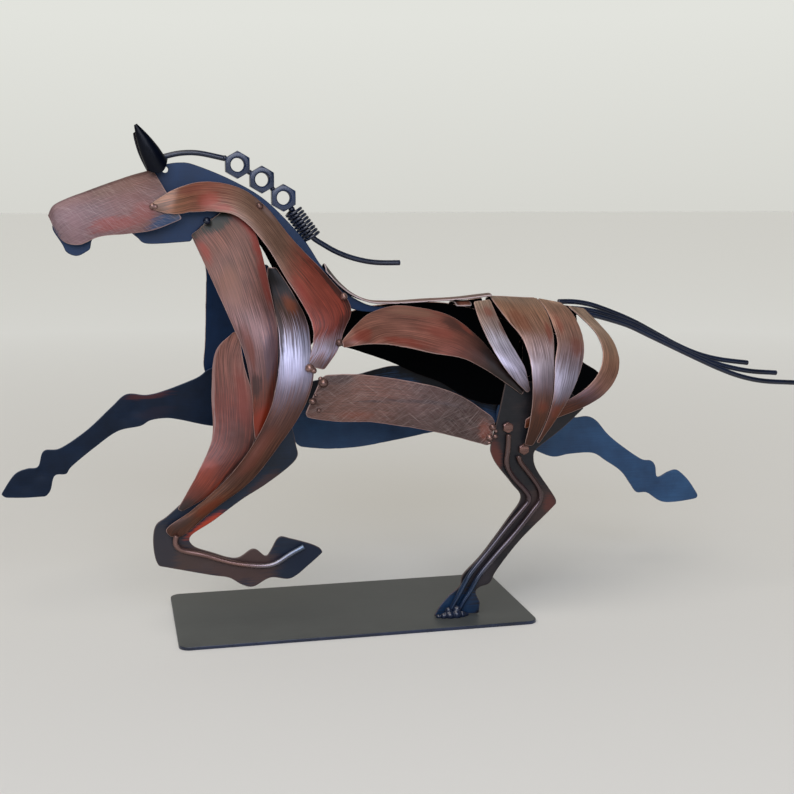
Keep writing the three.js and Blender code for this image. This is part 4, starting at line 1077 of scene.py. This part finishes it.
bellyBand = {
    "rows": [
        [[-19.6, 35, 143.6], [-30, 35, 120.8]],
        [[-1.1, 35.4, 143.3], [-10.7, 32.6, 117.3]],
        [[16, 34.6, 140.9], [8, 31.8, 116.2]],
        [[33.4, 33.4, 137.3], [25.2, 31, 113.1]],
        [[46.6, 32.4, 133.8], [42.6, 30.4, 109.4]],
        [[60, onHind + 1.1, 128], [59, onHind, 104.8]],
        [[71.4, onHind, 120.4], [70, onHind, 101.3]],
        [[79, onHind, 115], [76.4, onHind, 99.4]],
    ],
    "farRows": [
        [[-32, 29.4, 126], [-25, 28.8, 93]],
        [[-14, 33, 131], [-8, 29.6, 90.6]],
        [[12.2, 34, 134], [11, 30.4, 90.6]],
        [[38, 33.6, 138.6], [34.3, 30.4, 93.8]],
        [[62, 31, 131], [58, 29.8, 97.9]],
        [[88, onHind, 121], [84, onHind, 101.5]],
        [[102, onHind + 0.1, 112], [100, onHind + 0.1, 102]],
    ],
    "tones": [(0.0, "#4c3028"), (0.15, "#5e3e34"), (0.4, "#593a32"), (0.55, "#543d3a"), (0.8, "#3e2b28"),
              (1.0, "#3e2823")],
    "spots": [(0.1, 0.1, 0.1, 0.12, 0, "#3a2c2b", 0.7), (0.25, 0.85, 0.12, 0.12, 0, "#723c2c", 0.6),
              (0.52, 0.4, 0.05, 0.4, 60, "#2e2830", 0.5), (0.95, 0.6, 0.05, 0.4, 0, "#7a3824", 0.6)],
}
# Grey-brown lacquer rubbed with wire wool: dull, with crossed scratches
bellyFinish = paintedSteel("lacquerUmberBelly", bellyBand["tones"], bellyBand["spots"], scratches=0.42,
                           slants=(0.6, 0.95, -0.5), streak=0.3, clouds=0.3, roughness=(0.36, 0.48))
farBellyFinish = paintedSteel("lacquerUmberFarBelly", bellyBand["tones"], roughness=(0.36, 0.48))
# Navy inside, with painted shade, near black, towards its upper edge, which lies deep inside the body
farBellyInside = enamel("enamelNavyFarBelly", "#17304e", "#1f3d5e", (0.4, 0.5), 0.3, ("#41506a", 0.5),
                        spots=[(0.5, -0.1, 1.2, 0.62, 0, "#04070d", 1.0)])
stripPiece("belly_band_left", bellyBand["rows"], left, 1.5, [bellyFinish, inside], 18, "umber_paint", acrossCells=20,
           corner=3.5)
stripPiece("belly_band_right", bellyBand["farRows"], right, 1.5, [farBellyFinish, farBellyInside], 19, acrossCells=24,
           corner=3.5)
print("stage: back and belly")


# Hip strips, four on each side

hipStrips = {
    "rows": [
        [
            [[72.2, 8, 179], [82, 8, 180.2]],
            [[72.8, 14, 172], [84.4, 14, 171]],
            [[74.6, 20.4, 163.7], [88.3, 20.8, 160.1]],
            [[78.4, 27.6, 153.1], [91.9, 27.8, 151.1]],
            [[84.2, 31.6, 143.1], [95.2, 31.8, 144]],
            [[90.8, 32.6, 135.3], [96.6, 33, 137.6]],
            [[96.6, 33, 129.6], [98.2, 33, 131]],
        ],
        [
            [[84, 1.4, 181.4], [112.4, 1.4, 180]],
            [[84.2, 8.6, 178.6], [114.4, 9, 174.6]],
            [[90, 17, 168.6], [115.6, 17, 166.2]],
            [[95.6, 26, 159.4], [114.4, 25.6, 157.3]],
            [[98.2, 33.4, 146], [112.4, 31.6, 147]],
            [[98.6, 36.6, 128.1], [109.8, 36.8, 126]],
            [[97.2, 36, 113], [105.6, 36.6, 112]],
            [[95.4, 33, 100], [100, 33.4, 99.4]],
        ],
        [
            [[112.9, 1.4, 179.8], [125.4, 6.4, 177.6]],
            [[115, 9, 174.4], [130.4, 9.4, 172.4]],
            [[117, 17, 165.2], [133.2, 18.4, 162.4]],
            [[116.6, 25.6, 156.4], [132.4, 26.4, 152.4]],
            [[113.2, 31.8, 146.4], [128.6, 32.6, 142.6]],
            [[110.4, 36.8, 126], [119, 37.2, 125]],
            [[106.3, 36.6, 112], [110, 36.6, 111]],
            [[102, 34.4, 101.4], [103.4, 34.4, 101.2]],
        ],
        [
            [[129.4, 6.4, 175.4], [139.4, 6.4, 173.8]],
            [[136.6, 11.6, 168.6], [147, 12, 164.8]],
            [[142.6, 19, 160], [152.6, 19, 156]],
            [[144, 26, 150], [154, 26, 145]],
            [[140, 31, 139.9], [149.4, 31, 134.4]],
            [[132.6, 33.4, 132.2], [141.4, 33.4, 126.6]],
            [[123, 33.6, 126], [130, 33.6, 120.4]],
            [[110, 32.4, 121.6], [113, 32.4, 114]],
            [[96.6, onHind + 0.3, 114], [96, onHind + 0.3, 108.6]],
        ],
    ],
    "farTuck": [0, 4.5, 7, 7, 8, 9, 8],
    "farTrail": 3.4,        # mm that the far side's third strip is tucked under the second
    "tones": [
        [(0.0, "#7a6656"), (0.15, "#7e6255"), (0.3, "#8a7974"), (0.45, "#a19ba6"), (0.65, "#9c96a6"), (0.85, "#7e7682"),
         (1.0, "#3a2c2a")],
        [(0.0, "#7e6654"), (0.15, "#86624c"), (0.3, "#826050"), (0.42, "#9a8484"), (0.52, "#988b92"), (0.6, "#70636a"),
         (0.7, "#50342c"), (0.82, "#40200f"), (1.0, "#361b10")],
        [(0.0, "#806754"), (0.15, "#84604e"), (0.32, "#806054"), (0.45, "#7c686a"), (0.56, "#827c88"),
         (0.66, "#6c646e"), (0.75, "#4c2c22"), (0.86, "#48210f"), (1.0, "#3e1f12")],
        [(0.0, "#836e5c"), (0.2, "#8e7663"), (0.4, "#84604c"), (0.54, "#725044"), (0.62, "#50383a"), (0.7, "#38190f"),
         (0.85, "#542710"), (1.0, "#58290e")],
    ],
    "spots": [
        [(0.12, 0.6, 0.07, 0.25, 0, "#7e4638", 0.6), (0.3, 0.92, 0.1, 0.1, 0, "#5a3428", 0.6)],
        [(0.22, 0.3, 0.1, 0.2, 0, "#7c4630", 0.5), (0.3, 0.88, 0.1, 0.1, 0, "#7a3628", 0.6),
         (0.76, 0.6, 0.05, 0.4, 0, "#642a14", 0.6)],
        [(0.2, 0.22, 0.1, 0.2, 0, "#7c3c2c", 0.6), (0.36, 0.7, 0.08, 0.25, 0, "#743c2e", 0.5),
         (0.79, 0.5, 0.05, 0.4, 0, "#642a14", 0.6)],
        [(0.25, 0.8, 0.1, 0.2, 0, "#94745a", 0.5), (0.9, 0.5, 0.06, 0.4, 0, "#743410", 0.6)],
    ],
}
farHips = hipStrips["rows"][:2] + [
    [[[x - hipStrips["farTrail"], max(out - 1.6, 0.8), z - 0.5], end] for (x, out, z), end in hipStrips["rows"][2]],
    [[[x - tuck, out, z] for x, out, z in pair] for tuck, pair in zip(hipStrips["farTuck"], hipStrips["rows"][3])]]
farHips[3] += hipStrips["rows"][3][len(farHips[3]):]
for k in range(4):
    # The same lacquer as on the neck. Over the widest part of each bend it is silver-lilac: partly rubbed to the steel,
    # partly a painted highlight of the cool front lamp
    finish = paintedSteel(f"lacquerRustHip{k + 1}", hipStrips["tones"][k], hipStrips["spots"][k],
                          roughness=(0.3, 0.4), metallic=0.35)
    stripPiece(f"hip_strip_left_{k + 1}", hipStrips["rows"][k], left, 1, [finish, inside], 20 + k, acrossCells=18)
    stripPiece(f"hip_strip_right_{k + 1}", farHips[k], right, 1, [finish, inside], 24 + k, acrossCells=18)
print("stage: hips")


# Standing hind leg on the near side, with two rods and its small nuts

nearHindLeg = {
    "hoofBottom": 2.3,
    "rods": [
        [[86.6, 106], [86.5, 98], [85.7, 88.6], [90.3, 80.4], [97, 73], [99.7, 68], [96.4, 63.6],
         [86, 51.9], [74.8, 38.4], [64.2, 25.7], [58.6, 15.6], [54.8, 9], [53, 5.6]],
        [[92.6, 93.4], [93, 90.8], [96.2, 86.6], [101.1, 80.4], [105.6, 73.4], [106.3, 67.8], [101.1, 60.7],
         [89.9, 47.2], [78.7, 35.2], [69.6, 24.6], [64.4, 15.6], [60, 9.2], [58.4, 5.8]],
    ],
    "nuts": {"hind_leg_nut_1": (86.3, 109.9), "hind_leg_nut_2": (95.8, 97), "hoof_nut": (56.6, 5.6)},
    "nutAcrossFlats": 5.5, "nutHeight": 2.4,
    "tones": [(0.3, "#0e1015"), (0.5, "#161519"), (0.66, "#241d1d")],
    "spots": [(106, 64, 14, 14, 0, "#3b2b28", 0.8), (79, 94, 5, 12, 0, "#5a2c22", 0.8),
              (112, 64, 5, 7, 0, "#5b2c24", 0.6), (88, 50, 22, 6, 48, "#2b2426", 0.7),
              (72, 26, 12, 8, 45, "#302a2f", 0.8), (57, 8, 18, 11.5, 0, "#123150", 1.0)],
}
nearHindLeg["outline"] = [
    [[85.4, 136.4], [80.7, 114.6], [76.9, 99.5], [77.5, 94.2], [81, 87.8], [89.7, 76.9],
     [95, 68.4], [86.9, 56.2], [72, 37], [61, 25.6], [59.4, 19.4]],
    [[53.4, 14.4], [47.6, 8]],
    [[44.2, nearHindLeg["hoofBottom"]]],
    [[70.6, nearHindLeg["hoofBottom"]]],
    [[71.2, 9], [68.6, 15], [71.2, 17.8], [77, 19.8], [81, 27], [94.8, 43.8], [113.7, 61.5],
     [116.3, 65.1], [114.3, 69.7], [104, 85], [102.3, 93.4]],
    [[104.3, 97], [119, 107.6]],
    [[132, 119], [118, 132]],
]
# Smoke brown lacquer over navy, as on the foreleg, and a navy hoof
hindFinish = paintedSteel("lacquerSmokeHindLeg", nearHindLeg["tones"], nearHindLeg["spots"], toneFrom="cloud",
                          streak=0.2, hairs=0.12, metallic=0.3, roughness=(0.32, 0.46), rim=("#6b5850", 0.5))
platePiece("hind_leg_plate_left", nearHindLeg["outline"], left, stock["hind"], [hindFinish, inside], 28,
           warp=0.15)
# Smoke brown lacquer, thick and glossy on the tendons: sharp highlights
hindRodFinish = paintedSteel("lacquerSmokeHindRod", [(0.0, "#4e3833"), (0.4, "#403236"), (0.7, "#454049"),
                                                     (0.86, "#28384f"), (1.0, "#122744")], streak=0.3, metallic=0.55,
                             specular=0.9, roughness=(0.08, 0.15), relief=0)
hindNutFinish = paintedSteel("lacquerSmokeNut", [(0.3, "#4c342e"), (0.7, "#6e4e46")], toneFrom="cloud", metallic=0.6,
                             specular=0.8, roughness=(0.1, 0.18), relief=0)
for k, route in enumerate(nearHindLeg["rods"]):
    rodPiece(f"hind_leg_rod_{k + 1}", [(x, -(stock["hind"] + rodLap), z) for x, z in route], [hindRodFinish])
for node, (x, z) in nearHindLeg["nuts"].items():
    y = -(stock["hind"] + stock["plate"] / 2 + stock["clearance"] + nearHindLeg["nutHeight"] / 2)
    points, faces = nutPoints((x, y, z), nearHindLeg["nutAcrossFlats"], nearHindLeg["nutHeight"])
    finish = navyGloss if node == "hoof_nut" else hindNutFinish
    dress(makePiece(pieceName(node), points, faces, [finish], sharp=28), node)


# Far hind leg, stretched back, and the leaf above it

farHindLeg = {
    "outline": [
        [[148.7, 103.5], [156.8, 104.1], [162.8, 101], [170.2, 92.5], [179.5, 84.8], [193.1, 75.6],
         [199.8, 74.2], [202.8, 70.6], [204.4, 63.4]],
        [[211, 66.2], [216.2, 67.6], [219.6, 66.2], [226, 60]],
        [[232.4, 50.7], [230, 48], [209.6, 46.9], [197.8, 53.6], [190.8, 54.2], [186.6, 59.4],
         [179.9, 68.2], [169.5, 75.5], [160.2, 80.9], [145.2, 80.9], [134.8, 79.6], [123.3, 84]],
        [[108, 92], [98, 106], [104, 120], [122, 124], [138, 114]],
    ],
    "dents": [(141.5, 93, 3, 0.7), (162, 81.5, 2.6, 0.6), (190, 64, 3, 0.6), (205, 58, 3, 0.6), (216, 57, 3, 0.5)],
    "leaf": [
        [[112, 21, 158], [114, onHind - 0.4, 134]],
        [[131, 20, 157], [131, onHind + 0.1, 126]],
        [[152.6, 26.4, 138.2], [148, onHind + 0.1, 114]],
        [[163.4, 27.6, 131], [159, onHind, 113]],
        [[165.6, 29, 124], [164, onHind, 117]],
    ],
}
platePiece("hind_leg_plate_right", farHindLeg["outline"], right, stock["hind"], [farHindFinish, farHindFinish], 29,
           dents=farHindLeg["dents"], warp=0.35)
stripPiece("thigh_leaf_right", farHindLeg["leaf"], right, 1, [loinFinish, inside], 30, acrossCells=20)
print("stage: hind legs")


# Tail, three rods side by side

tail = {
    "rods": [
        [[127, 177.4], [133, 177.4], [139, 177], [148, 175.2], [157.3, 172], [167.1, 168.2], [176.9, 163.8],
         [191.8, 155.9], [204.8, 149.2], [217.8, 143.9], [230.9, 140.5], [250.6, 137.7]],
        [[134, 173.6], [145, 172.4], [155, 169.8], [165.8, 166.4], [175.7, 162.6], [190.5, 155],
         [203.4, 148.2], [216.4, 142.6], [230, 137.6], [249.2, 133.2], [268.3, 131.4]],
        [[136, 171.6], [146, 169.8], [159.8, 166], [169.5, 162.8], [179.4, 158.2], [195.6, 150.6],
         [215, 141.6], [228.1, 135.8], [241.2, 130.9], [256, 127.4], [279.4, 125.4]],
    ],
}
for k, route in enumerate(tail["rods"]):
    out = (1 - k) * (stock["rod"] + stock["clearance"])
    rodPiece(f"tail_rod_{k + 1}", [(x, out, z) for x, z in route], [navyGloss])
print("stage: tail")


# Rivet heads and weld beads: place, diameter, and the drops that each is made of

beads = {
    "face_weld": (-105.2, 11.6, 233, 3.8),
    "throat_bolt": (-77, 6.4, 225.4, 3.8),
    "crest_rivet": (-48.4, 5.4, 233.2, 3.8),
    "withers_rivet": (-5.4, 23, 184.4, 3.8),
    "loin_weld": (-10.4, 34.6, 160.6, 3.8),
    "shoulder_weld": (-26.4, 38, 147.4, 5),
    "girth_weld_1": (-19.6, 37, 139.4, 5),
    "girth_weld_2": (-25.3, 36.6, 129.6, 3.8),
    "flank_weld_1": (77.2, onHind + 0.4, 110.4, 3.8),
    "flank_weld_2": (75.4, onHind + 0.4, 104.6, 3.8),
}
# Two of them are two drops that ran together: place beside the centre along X and Z, radius, height, seed
twinDrops = {
    "shoulder_weld": [(-0.7, 0.5, 2.2, 3.0, 1.0), (1.5, -1.0, 1.6, 2.2, 2.0)],
    "face_weld": [(-0.5, 0.1, 1.7, 1.3, 1.0), (1.0, -0.2, 1.5, 1.2, 2.0)],
}
beadRise = 0.62         # height of a bead as a share of its diameter
# Weld metal under copper brown lacquer: smooth and metallic, with small highlights
beadFinish = paintedSteel("lacquerCopperBead", [(0.35, "#5d4640"), (0.65, "#8a6c64")], toneFrom="cloud", streak=0.1,
                          hairs=0, metallic=0.7, roughness=(0.2, 0.32), rim=("#8a6c64", 0))
for k, (node, (x, out, z, diameter)) in enumerate(beads.items()):
    foot = -(out + stock["sheet"] / 2 + 0.1)
    drops = twinDrops.get(node, [(0, 0, diameter / 2, beadRise * diameter, k + 1.0)])
    parts = [dropPoints((x + aside, foot, z + up), radius, tall, seed) for aside, up, radius, tall, seed in drops]
    points, faces = meltedPoints(parts, 0.22)
    finish = navyGloss if node == "throat_bolt" else beadFinish
    dress(makePiece(pieceName(node), points, faces, [finish]), node)

# Small beads beside them, and the weld that holds the hoof to the base
smallBeads = {
    "flank": [(79.1, onHind + 0.4, 105, 1.3), (75.6, onHind + 0.4, 101.6, 1.1), (79.4, onHind + 0.4, 108, 1.0)],
    "girth": [(-21.7, 35.6, 124.2, 1.2), (-20.9, 36.8, 141.6, 1.2), (-23.4, 36, 132.6, 1.0)],
    "hoof": [(46.4, 31.2, 2.6, 1.5), (49.4, 32, 3, 2.1), (52.8, 32.8, 3.4, 2.6), (56.6, 33, 3.6, 2.6),
             (60, 32, 3, 2.2), (62.6, 31, 2.6, 1.4), (52, 31.8, 6, 2.1), (57, 32, 6.4, 2.2)],
}
for group, spots in smallBeads.items():
    parts = [dropPoints((x, -out + 0.2, z), size, 0.9 * size, k + 0.5) for k, (x, out, z, size) in enumerate(spots)]
    points, faces = meltedPoints(parts, 0.2)
    points[:, 2] = np.maximum(points[:, 2], 2.0) if group == "hoof" else points[:, 2]
    finish = navyGloss if group == "hoof" else beadFinish
    dress(makePiece(group + "Beads", points, faces, [finish]), None)
print("stage: beads")


# Floor, light and camera

studio = {
    "floor": "#d8d8d3", "floorAway": "#f6faf9", "floorReach": (0.35, 1.8),       # m from the sculpture
    "floorBox": (-40, -40, 40, 60),                                              # m
    "backdrop": [(0.0, "#d6d6d0"), (0.14, "#e2e3dd")],
    "floorRoughness": 0.9,
    "behind": (-0.25, 0.7),                               # where the room's light goes over into the wall's
    "room": "#c9d2e2", "roomStrength": 0.14,              # what the horse sees on the camera's side
    "wall": "#dedcd4", "wallStrength": 0.6,               # and behind it
    "sky": {"from": (-0.35, -0.45, 1.0), "strength": 1.75, "angle": 55, "colour": "#fff7ee"},
}
x0, y0, x1, y1 = studio["floorBox"]
floorMesh = bpy.data.meshes.new("floor")
floorMesh.from_pydata([(x0, y0, 0), (x1, y0, 0), (x1, y1, 0), (x0, y1, 0)], [], [(0, 1, 2, 3)])
floor = bpy.data.objects.new("floor", floorMesh)
bpy.context.scene.collection.objects.link(floor)
# Matt pale paint: no reflections, only a soft shadow
floorFinish = bpy.data.materials.new("paintPaleFloor")
floorFinish.use_nodes = True
floorTree = floorFinish.node_tree
floorShader = floorTree.nodes["Principled BSDF"]
# Paler further away: painted light, so that the floor brightens into the backdrop as a swept backdrop curving up into
# the light does
spot = addNode(floorTree, "TexCoord")
away = addNode(floorTree, "VectorMath", {0: spot.outputs["Object"]}, operation="LENGTH")
reach = addNode(floorTree, "MapRange", {0: away.outputs["Value"], 1: studio["floorReach"][0],
                                        2: studio["floorReach"][1]})
paler = addNode(floorTree, "Mix", {0: reach.outputs[0], 6: linear(studio["floor"]),
                                   7: linear(studio["floorAway"])}, data_type="RGBA")
floorTree.links.new(paler.outputs[2], floorShader.inputs["Base Color"])
floorShader.inputs["Roughness"].default_value = studio["floorRoughness"]
floorMesh.materials.append(floorFinish)

world = bpy.data.worlds.new("studio")
bpy.context.scene.world = world
world.use_nodes = True
tree = world.node_tree
tree.nodes.clear()
way = addNode(tree, "TexCoord")
parts = addNode(tree, "SeparateXYZ", {0: way.outputs["Generated"]})
behind = addNode(tree, "MapRange", {0: parts.outputs[1], 1: studio["behind"][0], 2: studio["behind"][1]})
room, wall = (addNode(tree, "Background", {0: linear(studio[key]), 1: studio[key + "Strength"]})
              for key in ("room", "wall"))
around = addNode(tree, "MixShader", {0: behind.outputs[0], 1: room.outputs[0], 2: wall.outputs[0]})
# The backdrop starts near the colour of the lit floor, so that the horizon hardly shows
rise = addNode(tree, "ValToRGB", {0: parts.outputs[2]}, stops=studio["backdrop"])
backdrop = addNode(tree, "Background", {0: rise.outputs[0]})
seen = addNode(tree, "LightPath")
shown = addNode(tree, "MixShader", {0: seen.outputs["Is Camera Ray"], 1: around.outputs[0], 2: backdrop.outputs[0]})
addNode(tree, "OutputWorld", {0: shown.outputs[0]})

lamps = {
    "front": {"at": (-0.35, -1.7, 0.85), "aim": (0.02, 0, 0.13), "size": (1.7, 0.8), "power": 24, "colour": "#e6ecff"},
}
sky = bpy.data.lights.new("sky", "SUN")
sky.energy = studio["sky"]["strength"]
sky.angle = math.radians(studio["sky"]["angle"])
sky.color = linear(studio["sky"]["colour"])[:3]
skyLamp = bpy.data.objects.new("sky", sky)
bpy.context.scene.collection.objects.link(skyLamp)
skyLamp.rotation_euler = (-Vector(studio["sky"]["from"])).to_track_quat("-Z", "Y").to_euler()
for name, look in lamps.items():
    data = bpy.data.lights.new(name, "AREA")
    data.shape = "RECTANGLE"
    data.size, data.size_y = look["size"]
    data.energy = look["power"]
    data.color = linear(look["colour"])[:3]
    lamp = bpy.data.objects.new(name, data)
    bpy.context.scene.collection.objects.link(lamp)
    lamp.location = look["at"]
    aim = Vector(look["aim"]) - Vector(look["at"])
    lamp.rotation_euler = aim.to_track_quat("-Z", "Y").to_euler()

camera = {
    "place": (-129.885, -702.357, 232.249),      # mm
    "right": (0.97517922, -0.22140945, -0.00182867),
    "up": (0.03447081, 0.14365518, 0.98902728),
    "focal": 1269,                               # pixels, in the photograph's 794
    "frame": 794,
    "sensor": 36,
}
cameraData = bpy.data.cameras.new("camera")
cameraData.sensor_width = camera["sensor"]
cameraData.lens = camera["sensor"] * camera["focal"] / camera["frame"]
cameraData.clip_start = 0.01
viewer = bpy.data.objects.new("camera", cameraData)
bpy.context.scene.collection.objects.link(viewer)
rightWay, upWay = Vector(camera["right"]), Vector(camera["up"])
backWay = rightWay.cross(upWay)
viewer.matrix_world = Matrix.Translation(Vector(camera["place"]) * mm) @ Matrix(
    (rightWay, upWay, backWay)).transposed().to_4x4()
bpy.context.scene.camera = viewer
bpy.context.scene.view_settings.view_transform = "Standard"
print("stage: studio")
